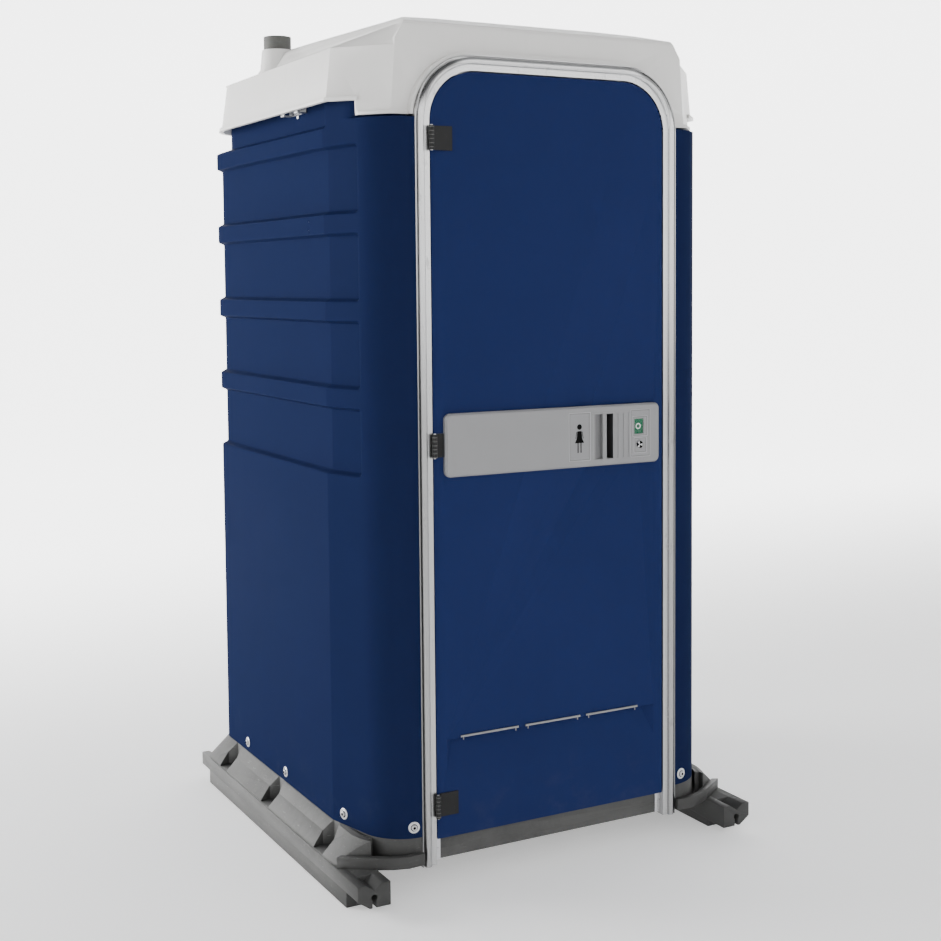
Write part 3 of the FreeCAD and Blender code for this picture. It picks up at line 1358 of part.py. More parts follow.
def hinges():
    """Door leaf, frame leaf and pin of the three hinges."""
    half = "2 * knuckle_height"
    for tag, middle in HINGES:
        name = "hinge_door_leaf_" + tag
        start = "door_gap - doorway_half + 5"
        plate = block(name + "_plate", start, "door_set - leaf_thick - front_set", middle + " - " + half,
                      "leaf_reach - 7.5", "leaf_thick", "4 * knuckle_height")
        web = ("hinge_x + 2", "-5 - front_set", "5.5 + 2.5", "door_set + 5")
        hinge_leaf(name, middle, (0, 2), "hinge_pin_radius + pin_play", plate, web)
        name = "hinge_frame_leaf_" + tag
        edge = "0.1 - doorway_half"
        plate = block(name + "_plate", edge, "door_set + 1.3 - front_set", middle + " - " + half,
                      "frame_leaf_thick", "frame_leaf_depth", "4 * knuckle_height")
        web = (edge, "-4 - front_set", "frame_leaf_thick", "door_set + 6")
        hinge_leaf(name, middle, (1, 3), "hinge_pin_radius", plate, web)
    pins = []
    for tag, middle in HINGES:
        spot = ("hinge_x", "-hinge_forward - front_set")
        low = middle + " - " + half
        shank = rod("pin_shank_" + tag, "hinge_pin_radius", "4 * knuckle_height", spot[0], spot[1], low)
        foot = rod("pin_foot_" + tag, "pin_head_radius", "pin_head_height", spot[0], spot[1],
                   low + " - pin_head_height")
        head = rod("pin_head_" + tag, "pin_head_radius", "pin_head_height", spot[0], spot[1],
                   middle + " + " + half)
        pins.append(fuse("pin_" + tag, [shank, foot, head]))
    node(group("hinge_pins", pins), "hinge_pins")


# Latch plate and hand recess

def rounded_rectangle(sketch, left, right, low, high, radius):
    """A rectangle with round corners; every side and the radius follow rules."""
    spots = [(20, 0), (80, 0), (100, 20), (100, 80), (80, 100), (20, 100), (0, 80), (0, 20)]
    centres = [(80, 20), (80, 80), (20, 80), (20, 20)]
    first = sketch.GeometryCount
    for i in range(4):
        start = V(*spots[2 * i], 0)
        end = V(*spots[2 * i + 1], 0)
        sketch.addGeometry(Part.LineSegment(start, end), False)
        turn = math.pi * (i - 1) / 2
        whole = Part.Circle(V(*centres[i], 0), Z_AXIS, 20)
        sketch.addGeometry(Part.ArcOfCircle(whole, turn, turn + math.pi / 2), False)
    for i in range(4):
        side = first + 2 * i
        corner = side + 1
        after = first + (2 * i + 2) % 8
        sketch.addConstraint(Sketcher.Constraint("Tangent", side, 2, corner, 1))
        sketch.addConstraint(Sketcher.Constraint("Tangent", corner, 2, after, 1))
        sketch.addConstraint(Sketcher.Constraint("Vertical" if i % 2 else "Horizontal", side))
    for i in range(1, 4):
        sketch.addConstraint(Sketcher.Constraint("Equal", first + 1, first + 2 * i + 1))
    held = sketch.addConstraint(Sketcher.Constraint("Radius", first + 1, 20))
    sketch.setExpression("Constraints[%d]" % held, rule(radius))
    hold(sketch, "DistanceY", first, 1, 0, low)
    hold(sketch, "DistanceX", first + 2, 1, 100, right)
    hold(sketch, "DistanceY", first + 4, 1, 100, high)
    hold(sketch, "DistanceX", first + 6, 1, 0, left)


def latch_plate():
    """Grey plate across the door, with openings for hand, sign, flag and coin slot."""
    body = new_body("latch_plate")
    back = "front_set - door_set"
    face = back + " + plate_thick"
    outline = new_sketch(body, "plate_outline", "XZ_Plane", back)
    rounded_rectangle(outline, "plate_left", "plate_right", "plate_low", "plate_high", "plate_corner")
    slab = pad(body, outline, "plate_thick")
    doc.recompute()
    rim = []
    for i, edge in enumerate(slab.Shape.Edges, 1):
        reach = edge.BoundBox
        if abs(reach.YMin - reach.YMax) < 0.01 and reach.YMin < front(S.door_set) - 1:
            rim.append("Edge%d" % i)
    bevel = body.newObject("PartDesign::Chamfer", "plate_bevel_cut")
    bevel.Base = (slab, rim)
    bind(bevel, "Size", "plate_bevel")
    sign = new_sketch(body, "sign_field", "XZ_Plane", face)
    rectangle(sign, "sign_left", "sign_right", "cup_low + 7", "cup_high")
    pocket(body, sign, "sign_depth")
    cup = new_sketch(body, "cup_opening", "XZ_Plane", face)
    rectangle(cup, "cup_left - cup_wall - seat_gap", "cup_right + cup_wall + seat_gap",
              "cup_low - cup_wall - seat_gap", "cup_high + cup_wall + seat_gap")
    pocket(body, cup, "plate_thick + 1")
    for i in range(3):
        groove = new_sketch(body, "groove_%d" % i, "XZ_Plane", face)
        left = "groove_first + %d * groove_pitch" % i
        rectangle(groove, left, left + " + groove_width", "cup_low", "cup_high")
        pocket(body, groove, "1.2")
    window = new_sketch(body, "window_opening", "XZ_Plane", face)
    rectangle(window, "window_left", "window_left + window_width", "window_low", "window_high")
    pocket(body, window, "plate_thick + 1")
    flag = new_sketch(body, "flag_pocket", "XZ_Plane", back)
    rectangle(flag, "flag_left - flag_play", "rod_x + rod_radius + bolt_travel + 2 * flag_play",
              "window_low - 5", "window_high + 5")
    pocket(body, flag, "plate_thick - flag_cover", reverse=True)
    coin = new_sketch(body, "coin_seat", "XZ_Plane", face)
    circle(coin, "lock_x", "lock_z", "coin_radius + spindle_play")
    pocket(body, coin, "coin_thick")
    shaft = new_sketch(body, "shaft_hole", "XZ_Plane", face)
    circle(shaft, "lock_x", "lock_z", "spindle_radius + spindle_play")
    pocket(body, shaft, "plate_thick + 1")
    leaf = new_sketch(body, "leaf_seat", "XZ_Plane", back)
    rectangle(leaf, "plate_left - 1", "door_gap - doorway_half + leaf_reach - 2.5 + seat_gap",
              "hinge_mid - (2 * knuckle_height) - seat_gap", "hinge_mid + (2 * knuckle_height) + seat_gap")
    pocket(body, leaf, "leaf_thick + seat_gap", reverse=True)


def pull_handle():
    """Hand recess with a grip edge in front of a deep slot for the fingers."""
    body = new_body("pull_handle")
    shell = new_sketch(body, "cup_shell", "XZ_Plane", "front_set - door_set + plate_thick")
    rectangle(shell, "cup_left - cup_wall", "cup_right + cup_wall",
              "cup_low - cup_wall", "cup_high + cup_wall")
    pad(body, shell, "cup_depth + cup_wall", reverse=True)
    face = "door_set - plate_thick - front_set"
    slot = new_sketch(body, "finger_slot", "XY_Plane", "(cup_low + cup_high) / 2")
    polygon(slot, [
        ("grip_right", face + " - 1"), ("cup_right", face + " - 1"), ("cup_right", face + " + cup_depth"),
        ("cup_left + 14", face + " + cup_depth"), ("cup_left + 14", face + " + grip_thick + 6"),
        ("grip_right", face + " + grip_thick"),
    ])
    pocket(body, slot, "cup_high - cup_low", midplane=True)
    web = new_sketch(body, "sloping_web", "XY_Plane", "(cup_low + cup_high) / 2")
    polygon(web, [
        ("cup_left", face + " - 1"), ("grip_left", face + " - 1"), ("grip_left", face + " + 8"),
        ("cup_left", face),
    ])
    pocket(body, web, "cup_high - cup_low", midplane=True)


def sign_and_window():
    """Sign panel and the clear window over the flag."""
    node(block("sign_plate", "sign_left + 0.2", "door_set - plate_thick + 0.4 - front_set", "cup_low + 7.2",
               "sign_right - sign_left - 0.4", "sign_depth - 0.4", "cup_high - cup_low - 7.4"), "sign_plate")
    node(block("window_lens", "window_left", "door_set - plate_thick + 0.3 - front_set", "window_low",
               "window_width", "flag_cover - 0.6", "window_high - window_low"), "window_lens")


# Lock

def lock_turning_parts():
    """Coin disc, spindle with its crank, and the inside knob."""
    disc = rod("coin_blank", "coin_radius", "coin_thick", "lock_x", "door_set - plate_thick - 1 - front_set",
               "lock_z", Y_AXIS)
    mark = block("coin_mark", "lock_x - 7", "door_set - plate_thick - 2 - front_set", "lock_z - 1.1",
                 "14", "3", "2.2")
    node(cut("coin_disc", disc, mark), "coin_disc")
    start = "door_set - plate_thick - 1 + coin_thick - front_set"
    shaft = rod("spindle_shaft", "spindle_radius", "knob_end - (door_set - plate_thick - 1 + coin_thick)",
                "lock_x", start, "lock_z", Y_AXIS)
    crank_y = "bolt_depth + bolt_thick + 1 - front_set"
    arm = block("crank_arm", "-6", "0", "0", "12", "3", "crank_radius + 5")
    bind(arm, "Placement.Base.x", "lock_x - 6 * sin(45) ")
    bind(arm, "Placement.Base.y", crank_y)
    bind(arm, "Placement.Base.z", "lock_z - 6 * sin(45)")
    arm.Placement = FreeCAD.Placement(arm.Placement.Base, FreeCAD.Rotation(Y_AXIS, -45))
    throw = "crank_radius * sin(45)"
    pin = rod("crank_pin", "crank_pin_radius", "bolt_thick + 1.5", "lock_x - " + throw,
              "bolt_depth + 0.5 - front_set", "lock_z + " + throw, Y_AXIS)
    node(fuse("lock_spindle", [shaft, arm, pin]), "lock_spindle")
    knob_start = "case_depth + 2 - front_set"
    wheel = rod("knob_wheel", "knob_radius", "6", "lock_x", knob_start, "lock_z", Y_AXIS)
    wing = block("knob_wing", "lock_x - 4", "case_depth + 7 - front_set", "lock_z - knob_radius", "8",
                 "knob_end - case_depth - 5", "2 * knob_radius")
    bore = rod("knob_bore", "spindle_radius", "40", "lock_x", knob_start, "lock_z", Y_AXIS)
    blank = fuse("knob_blank", [wheel, wing])
    node(cut("latch_knob", blank, bore), "latch_knob")


def latch_bolt():
    """Sliding bolt with a slot for the crank pin and a lug for the flag's rod."""
    body = new_body("latch_bolt")
    shape = new_sketch(body, "bolt_shape", "XZ_Plane", "front_set - bolt_depth")
    left = "bolt_tip - bolt_length"
    top = "bolt_low + bolt_height"
    polygon(shape, [
        (left, "bolt_low"), ("bolt_tip", "bolt_low"), ("bolt_tip", top), ("rod_x + 8", top),
        ("rod_x + 8", "rod_z + 7"), ("rod_x - 8", "rod_z + 7"), ("rod_x - 8", top), (left, top),
    ])
    pad(body, shape, "bolt_thick", reverse=True)
    slot = new_sketch(body, "crank_slot", "XZ_Plane", "front_set - bolt_depth + 1")
    middle = "lock_x - crank_radius * sin(45)"
    half = "crank_pin_radius + crank_play"
    rectangle(slot, middle + " - (%s)" % half, middle + " + (%s)" % half, "bolt_low + 3", top + " - 2.5")
    pocket(body, slot, "bolt_thick + 2")
    eye = new_sketch(body, "rod_eye", "XZ_Plane", "front_set - bolt_depth + 1")
    circle(eye, "rod_x", "rod_z", "rod_radius")
    pocket(body, eye, "bolt_thick + 2")


def flag():
    """Flag plate behind the window and the rod that moves it with the bolt."""
    start = "flag_left"
    depth = "flag_depth - front_set"
    plate = block("flag_blank", start, depth, "window_low - 3",
                  "rod_x + rod_radius + 2 - flag_left", "flag_thick", "window_high - window_low + 6")
    eye = rod("flag_eye", "rod_radius", "flag_thick", "rod_x", depth, "rod_z", Y_AXIS)
    node(cut("occupancy_flag", plate, eye), "occupancy_flag")
    node(rod("flag_link", "rod_radius", "bolt_depth + bolt_thick - flag_depth", "rod_x", depth, "rod_z",
             Y_AXIS), "flag_link")


def latch_case():
    """Box over the bolt on the inside of the door, with screw flanges."""
    body = new_body("latch_case")
    outer = new_sketch(body, "case_outline", "XZ_Plane", "front_set - door_set - door_thick")
    rectangle(outer, "case_left", "case_right", "case_low", "case_high")
    pad(body, outer, "case_depth - door_set - door_thick", reverse=True)
    rims = new_sketch(body, "case_flanges", "XZ_Plane", "front_set - door_set - door_thick")
    rectangle(rims, "case_left", "case_right", "case_low - case_flange", "case_high + case_flange")
    pad(body, rims, "case_wall", reverse=True)
    inner = new_sketch(body, "case_hollow", "XZ_Plane", "front_set - door_set - door_thick + 1")
    rectangle(inner, "case_left + case_wall", "case_right - case_wall", "case_low + case_wall",
              "case_high - case_wall")
    pocket(body, inner, "case_depth - door_set - door_thick + 1 - case_wall")
    mouth = new_sketch(body, "bolt_mouth", "YZ_Plane", "case_right + 1")
    rectangle(mouth, "bolt_depth - spindle_play - front_set",
              "bolt_depth + bolt_thick + spindle_play - front_set",
              "bolt_low - spindle_play", "bolt_low + bolt_height + spindle_play")
    pocket(body, mouth, "case_wall + 2")
    shaft = new_sketch(body, "case_shaft", "XZ_Plane", "front_set - door_set - door_thick")
    circle(shaft, "lock_x", "lock_z", "spindle_radius + spindle_play")
    pocket(body, shaft, "case_depth")
    screws = new_sketch(body, "case_screw_holes", "XZ_Plane", "front_set - door_set - door_thick + 1")
    for x in ("case_left + 20", "case_right - 20"):
        for z in ("case_low - case_flange / 2", "case_high + case_flange / 2"):
            circle(screws, x, z, "screw_radius")
    pocket(body, screws, "case_wall + 2")
    feature("latch_case_screws", Part.makeCompound(case_screws(S.screw_radius)))


def inner_pull():
    """Bar handle on the inside of the door, on two posts."""
    y = "door_set + door_thick - front_set"
    shapes = []
    for i, z in enumerate(("pull_low", "pull_high")):
        shapes.append(rod("pull_foot_%d" % i, "pull_radius + 6", "4", "pull_x", y, z, Y_AXIS))
        shapes.append(rod("pull_post_%d" % i, "pull_radius", "pull_reach", "pull_x", y, z, Y_AXIS))
        ball = doc.addObject("Part::Sphere", "pull_corner_%d" % i)
        bind(ball, "Radius", "pull_radius")
        bind(ball, "Placement.Base.x", "pull_x")
        bind(ball, "Placement.Base.y", y + " + pull_reach")
        bind(ball, "Placement.Base.z", z)
        shapes.append(ball)
    shapes.append(rod("pull_bar", "pull_radius", "pull_high - pull_low", "pull_x", y + " + pull_reach",
                      "pull_low"))
    node(fuse("inner_pull", shapes), "inner_pull")


# Tank, seat and lid

def oval(half, near, far, near_radius, far_radius, z):
    """Plan with round corners, larger at the front."""
    edges = [
        line((near_radius - half, near, z), (half - near_radius, near, z)),
        corner_arc((half - near_radius, near + near_radius), near_radius, -90, 0, z),
        line((half, near + near_radius, z), (half, far - far_radius, z)),
        corner_arc((half - far_radius, far - far_radius), far_radius, 0, 90, z),
        line((half - far_radius, far, z), (far_radius - half, far, z)),
        corner_arc((far_radius - half, far - far_radius), far_radius, 90, 180, z),
        line((-half, far - far_radius, z), (-half, near + near_radius, z)),
        corner_arc((near_radius - half, near + near_radius), near_radius, 180, 270, z),
    ]
    return Part.Face(Part.Wire(edges))


def seat_rear():
    return front(S.seat_axis_depth - S.seat_back_gap)


def seat_hole(low, high, extra):
    """The opening in the seat, or a wider one in the tank below it."""
    half = S.seat_hole_half + extra
    near = seat_rear() - S.seat_length + S.seat_front_width - extra
    radius = half - 2
    far = near + S.seat_hole_length + 2 * extra
    return oval(half, near, far, radius, radius, low).extrude(V(0, 0, high - low))


def tank_body(inset):
    """The tank's outside, or with an inset its hollow."""
    half = S.tank_half - inset
    low = S.floor_top + S.seat_gap + inset
    top = S.tank_top - inset
    near = front(S.tank_front + inset)
    far = front(S.tank_rear - inset)
    points = [(near + S.tank_slope, low), (near, top), (far, top), (far, low)]
    outline = Part.makePolygon([V(-half, y, z) for y, z in points + points[:1]])
    return Part.Face(outline).extrude(V(2 * half, 0, 0))


def holding_tank():
    socket_spot = V(S.pipe_x, front(S.pipe_depth), S.tank_top - S.socket_depth - 4)
    bore = S.pipe_shank + S.seat_gap
    tank = tank_body(0).cut(tank_body(S.tank_wall))
    socket = Part.makeCylinder(bore + 6, S.socket_depth + 4 + 20, socket_spot)
    tank = tank.fuse(socket)
    tank = tank.cut([
        Part.makeCylinder(bore, S.socket_depth + 60, socket_spot + V(0, 0, 3)),
        Part.makeCylinder(bore - 8, 20, socket_spot - V(0, 0, 1)),
        seat_hole(S.tank_top - 40, S.tank_top + 10, 6),
    ])
    tank = tank.cut(bracket_screws(S.screw_radius))
    feature("holding_tank", solid_of(tank))


def bracket_screws(shank):
    """Screws of the seat bracket, or the holes for them."""
    shapes = []
    for x in (-75, 75):
        spot = V(x, front(S.seat_axis_depth + 26), S.tank_top + S.bracket_thick)
        head = Part.makeCylinder(S.rivet_radius, 3, spot)
        length = S.bracket_thick + S.tank_wall + 5
        shapes.append(head.fuse(Part.makeCylinder(shank, length, spot, V(0, 0, -1))))
    return shapes


def ears(inner, outer, low, bore):
    """Two upright lugs on the seat's axis, one on each side."""
    y = front(S.seat_axis_depth)
    z = S.seat_axis_height
    foot = box_shape((inner, y - S.lug_radius, low), (outer, y + S.lug_radius, z))
    eye = Part.makeCylinder(S.lug_radius, outer - inner, V(inner, y, z), X_AXIS)
    lug = foot.fuse(eye).cut(Part.makeCylinder(bore, outer - inner, V(inner, y, z), X_AXIS))
    return [lug, mirrored(lug)]


def seat_bracket():
    """Bracket on the tank with two pairs of ears, and the pin through them."""
    y = front(S.seat_axis_depth)
    half = S.bracket_half
    plate = box_shape((-half, y - 12, S.tank_top), (half, y + 36, S.tank_top + S.bracket_thick))
    shapes = ears(S.lug_inner - 14, S.lug_inner - 2, S.tank_top + 1, S.seat_pin_radius)
    shapes += ears(half - 12, half, S.tank_top + 1, S.seat_pin_radius)
    feature("seat_bracket", solid_of(plate.fuse(shapes).cut(bracket_screws(S.screw_radius))))
    feature("seat_bracket_screws", Part.makeCompound(bracket_screws(S.screw_radius)))
    pin = rod("pin_rod", "seat_pin_radius", "2 * bracket_half", "-bracket_half",
              "seat_axis_depth - front_set", "seat_axis_height", X_AXIS)
    caps = []
    for i, start in enumerate(("-bracket_half - 3", "bracket_half")):
        caps.append(rod("pin_cap_%d" % i, "seat_pin_radius + 2", "3", start, "seat_axis_depth - front_set",
                        "tank_top + buffer_height + seat_thick + 1", X_AXIS))
    node(fuse("seat_pin", [pin] + caps), "seat_pin")


def lugs(inner, outer, low, high):
    """Eyes round the pin with arms that reach forward to a seat or lid."""
    y = front(S.seat_axis_depth)
    z = S.seat_axis_height
    bore = S.seat_pin_radius + S.pin_play
    arm = box_shape((inner, seat_rear() - 8, low), (outer, y, high))
    eye = Part.makeCylinder(S.lug_radius, outer - inner, V(inner, y, z), X_AXIS)
    lug = arm.fuse(eye).cut(Part.makeCylinder(bore, outer - inner, V(inner, y, z), X_AXIS))
    return [lug, mirrored(lug)]


def rounded(solid, radius, low, high):
    """Rounds the level edges of a flat piece at its upper and lower face."""
    edges = [e for e in solid.Edges if abs(e.BoundBox.ZMax - e.BoundBox.ZMin) < 0.01
             and (abs(e.BoundBox.ZMin - low) < 0.01 or abs(e.BoundBox.ZMin - high) < 0.01)]
    return solid.makeFillet(radius, edges)


def buffers(spots, radius, low, high):
    return [Part.makeCylinder(radius, high - low, V(x, front(depth), low)) for x, depth in spots]


def toilet_seat():
    """Ring seat with two lugs, and the buffers under it."""
    low = S.tank_top + S.buffer_height
    high = low + S.seat_thick
    far = seat_rear()
    plan = oval(S.seat_half, far - S.seat_length, far, S.seat_half - 20, 60, low)
    blank = plan.extrude(V(0, 0, S.seat_thick))
    ring = rounded(solid_of(blank.cut(seat_hole(low - 1, high + 1, 0))), 5, low, high)
    parts = lugs(S.lug_inner, S.lug_inner + S.lug_width, low + 3, high - 3)
    feature("toilet_seat", solid_of(ring.fuse(parts)))
    near = S.seat_axis_depth - S.seat_back_gap - S.seat_length
    spots = [(x, depth) for x in (-150, 150) for depth in (near + 106, near + S.seat_length - 80)]
    feature("seat_buffers", Part.makeCompound(buffers(spots, 8, S.tank_top + S.seat_gap, low)))


def seat_lid():
    """Lid with two lugs and two buffers, turned back into its open rest."""
    low = S.tank_top + S.buffer_height + S.seat_thick + S.lid_gap
    high = low + S.lid_thick
    far = seat_rear()
    plan = oval(S.seat_half, far - S.seat_length, far, S.seat_half - 20, 60, low)
    blank = plan.extrude(V(0, 0, S.lid_thick))
    plate = rounded(solid_of(blank), 4, low, high)
    parts = lugs(S.lug_inner + S.lug_width + 5, S.lug_inner + 2 * S.lug_width + 5, low + 1, high - 3)
    pivot = V(0, front(S.seat_axis_depth), S.seat_axis_height)
    turn = FreeCAD.Placement(V(), FreeCAD.Rotation(X_AXIS, -S.lid_lean), pivot)
    feature("seat_lid", solid_of(plate.fuse(parts)), turn)
    near = S.seat_axis_depth - S.seat_back_gap - S.seat_length
    spots = [(-150, near + 106), (150, near + 106)]
    pads = Part.makeCompound(buffers(spots, 7, low - S.lid_gap + S.seat_gap, low))
    feature("lid_buffers", pads, turn)


# Paper holder and coat hook

def inner_face():
    return S.wall_half - S.wall_thick


def holder_screws(shank):
    """Screws of the paper holder through the right wall, or the holes for them."""
    shapes = []
    for depth in (S.roll_depth - S.roll_width + 10, S.roll_depth + S.roll_width - 10):
        for z in (S.roll_z + 40, S.roll_z - 40):
            spot = V(inner_face() - S.holder_thick, front(depth), z)
            head = Part.makeCylinder(S.rivet_radius, 2.5, spot, V(-1, 0, 0))
            shapes.append(head.fuse(Part.makeCylinder(shank, S.holder_thick + S.wall_thick, spot, X_AXIS)))
    return shapes


def paper_holder():
    """Bracket with two arms, a roller between them and two paper rolls on it."""
    x = inner_face() - S.roll_reach
    near = front(S.roll_depth - S.roll_width - S.roll_room - S.holder_thick)
    far = front(S.roll_depth + S.roll_width + S.roll_room + S.holder_thick)
    thick = S.holder_thick
    back = box_shape((inner_face() - thick, near, S.roll_z - 60), (inner_face(), far, S.roll_z + 60))
    arms = []
    for low in (near, far - thick):
        arms.append(box_shape((x - 16, low, S.roll_z - 14), (inner_face() - 1, low + thick, S.roll_z + 14)))
    stud = Part.makeCylinder(S.stud_radius, far - near, V(x, near, S.roll_z), Y_AXIS)
    bracket = back.fuse(arms).cut([stud] + holder_screws(S.screw_radius))
    feature("paper_bracket", solid_of(bracket))
    feature("paper_bracket_screws", Part.makeCompound(holder_screws(S.screw_radius)))
    wide = rod("roller_tube", "roll_bore - roll_play", "2 * (roll_width + roll_room) - 2 * seat_gap",
               "roll_x", "roll_depth - roll_width - roll_room + seat_gap - front_set", "roll_z", Y_AXIS)
    thin = rod("roller_studs", "stud_radius", "2 * (roll_width + roll_room + holder_thick)",
               "roll_x", "roll_depth - roll_width - roll_room - holder_thick - front_set", "roll_z", Y_AXIS)
    node(fuse("paper_roller", [wide, thin]), "paper_roller")
    places = (("paper_roll_front", "-roll_width - roll_room / 2"), ("paper_roll_rear", "roll_room / 2"))
    for name, start in places:
        body = new_body(name)
        ring = new_sketch(body, name + "_ring", "XZ_Plane", "front_set - roll_depth - (%s)" % start)
        circle(ring, "roll_x", "roll_z", "roll_radius")
        circle(ring, "roll_x", "roll_z", "roll_bore")
        pad(body, ring, "roll_width", reverse=True)


def hook_height():
    return S.panel_bottom + 3 * S.panel_pitch - (S.panel_pitch - S.panel_height) / 2


def hook_screws(shank):
    """Screws of the coat hook through the left wall, or the holes for them."""
    shapes = []
    for lift in (-11, 11):
        spot = V(-inner_face() + 3, front(S.hook_depth), hook_height() + lift)
        head = Part.makeCylinder(S.rivet_radius, 2, spot, X_AXIS)
        shapes.append(head.fuse(Part.makeCylinder(shank, S.wall_thick + 3, spot, V(-1, 0, 0))))
    return shapes


def coat_hook():
    """Plate on a rib of the left wall with an upturned arm."""
    face = -inner_face()
    y = front(S.hook_depth)
    z = hook_height()
    plate = box_shape((face, y - 15, z - 17), (face + 3, y + 15, z + 17))
    reach = face + S.hook_reach
    rod_half = S.hook_thick / 2
    points = [
        (face + 2, z - rod_half), (reach - 12, z - rod_half), (reach, z + 8), (reach, z + S.hook_rise),
        (reach - S.hook_thick, z + S.hook_rise), (reach - S.hook_thick, z + 11),
        (reach - 15, z + rod_half), (face + 2, z + rod_half),
    ]
    outline = Part.makePolygon([V(px, y - 5, pz) for px, pz in points + points[:1]])
    arm = Part.Face(outline).extrude(V(0, 10, 0))
    feature("coat_hook", solid_of(plate.fuse(arm).cut(hook_screws(S.screw_radius))))
    feature("coat_hook_screws", Part.makeCompound(hook_screws(S.screw_radius)))



def finish():
    """Checks every object, then writes one STEP file for each finished piece."""
    doc.recompute()
    for obj in doc.Objects:
        if "Invalid" in obj.State or "Error" in obj.State:
            raise RuntimeError("%s failed: %s" % (obj.Label, obj.State))
    os.makedirs("parts", exist_ok=True)
    for obj in nodes:
        shape = obj.Shape
        if shape.isNull() or not shape.isValid() or not shape.Solids:
            raise RuntimeError("%s has no valid solid" % obj.Label)
    for obj in nodes:
        obj.Shape.exportStep(os.path.join("parts", obj.Label + ".step"))
        print(obj.Label, len(obj.Shape.Solids), "solids", round(obj.Shape.Volume / 1000), "cm3")


for skid_name, skid_side in (("skid_left", LEFT), ("skid_right", RIGHT)):
    skid(skid_name, skid_side)
base_pan()
door_sill()
walls()
roof_shell()
door_frame()
jamb_foot_plates()
wall_fixing_groups()
roof_clips()
vent_pipe()
door_skins()
drip_strips()
hinges()
latch_plate()
pull_handle()
sign_and_window()
lock_turning_parts()
latch_bolt()
flag()
latch_case()
inner_pull()
holding_tank()
seat_bracket()
toilet_seat()
seat_lid()
paper_holder()
coat_hook()
finish()
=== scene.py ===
import json
import math

import bmesh
import bpy
from mathutils import Matrix, Vector


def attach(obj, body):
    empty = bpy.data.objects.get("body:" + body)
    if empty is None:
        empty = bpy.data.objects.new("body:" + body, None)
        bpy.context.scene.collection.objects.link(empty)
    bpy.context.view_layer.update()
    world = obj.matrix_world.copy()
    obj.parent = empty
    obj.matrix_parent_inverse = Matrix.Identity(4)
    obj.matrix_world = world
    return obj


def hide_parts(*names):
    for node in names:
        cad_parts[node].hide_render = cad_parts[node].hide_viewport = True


bl_info = {
    "name": "Portable toilet cabin",
    "version": (1, 0, 0),
    "blender": (4, 5, 0),
    "location": "3D View > Sidebar > Cabin",
    "description": "Dresses the cabin: soft moulded edges, fasteners, sign, lock marks, finishes and stage",
    "category": "Object",
}

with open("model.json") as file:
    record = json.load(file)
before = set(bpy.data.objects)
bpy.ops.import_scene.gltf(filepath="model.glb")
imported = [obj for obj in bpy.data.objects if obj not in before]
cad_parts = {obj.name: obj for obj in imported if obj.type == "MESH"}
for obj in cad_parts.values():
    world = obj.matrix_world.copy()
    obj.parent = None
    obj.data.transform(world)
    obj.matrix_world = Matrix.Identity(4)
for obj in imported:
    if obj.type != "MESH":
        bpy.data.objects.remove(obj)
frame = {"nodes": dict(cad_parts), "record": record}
nodes = frame["nodes"]

MM = 0.001
WELD = 0.00002  # corners closer than this are one
X, Y = Vector((1, 0, 0)), Vector((0, 1, 0))

# Places and sizes on the cabin, in metres in the shared frame
FRAME_BEND = (0.2432, 1.9680)  # centre of the door frame's upper bend: X from the middle, and height
FRAME_RADIUS = 0.150  # outer radius of that bend
ROLL_AXIS = (0.465, 0.760)  # X and Z of the paper rolls' axis
FLAG_SPLIT = 0.2485  # X where the flag's green meets its red
PLATE_FRAMES = (  # raised outlines on the latch plate: left, right, low, high
    (0.0425, 0.1085, 1.0765, 1.2035),
    (0.2375, 0.3000, 1.0765, 1.2035),
    (0.2440, 0.2910, 1.1320, 1.1860),
    (0.2480, 0.2880, 1.0870, 1.1280),
)
PLATE_HOLLOWS = (  # hollows beside the grip, darker deeper in as painted shade: left, right, face, depth of the change, brightness
    (0.1603, 0.1812, -0.5515, 0.002, 0.005),
    (0.1172, 0.1480, -0.5518, 0.003, 0.50),
)
HOLLOW_HEIGHTS = (1.0770, 1.1970)
FIGURE_SPOT, FIGURE_HEIGHT = Vector((0.0745, -0.5519, 1.1370)), 0.0775  # on the sign field
FLAG_RING_SPOT = Vector((0.2640, -0.5482, 1.1585))  # on the flag, behind the window
COIN_SPOT = Vector((0.2660, -0.5531, 1.1090))  # middle of the coin disc's face
INK, THIN_INK = 0.0003, 0.00015  # thickness of the painted marks
RIVET_HEAD = 0.0015  # height of a rivet's head on its CAD node
WALL_BOLT_SPOTS = (  # X, Y and the facing's angle about Z, on the right side
    (0.41557, -0.53631, -78.0),
    (0.53148, -0.35831, -14.25),
    (0.543, 0.028, 0.0),
    (0.543, 0.340, 0.0),
)
WALL_BOLT_HEIGHT = 0.172
WALL_THICK = 0.006
WALL_ENDS = (0.144, 0.146, 0.150, 2.000, 2.028, 2.030)  # mesh rows at the walls' foot and top
WALL_SINK = 0.016  # depth of the recessed panels and of the set-back top band
PANEL_LOWS = [1.060 + 0.221 * i for i in range(4)]  # lower edges of the recessed panels
PANEL_FOOT, PANEL_HEAD = (-0.001, 0.011), (0.165, 0.175)  # where a panel sinks and returns, above its low
PANEL_FADE, BAND_FADE = (-0.451, -0.431), (-0.323, -0.313)  # Y over which panels and top band begin in front
BAND_STEP = (1.941, 1.952)  # heights over which the top band steps back
CORNER_CHANGE = (1.940, 1.953)  # heights over which the rear corners grow rounder
ROOF_STEP = (1.9570, 1.9630)  # heights over which the walls step inside the roof's front corners
ROOF_CORNER, ROOF_CREASE = Vector((0.4365, -0.5024)), Vector((0.5532, -0.3776))
FRONT_EDGE_X, SEAM_X = 0.3933, 0.4302  # where a side panel starts in front and ends behind
SEAM_STOPS = (0.150, 0.393, 0.405, 0.4175, 0.4298)  # the rear panel's columns on either side

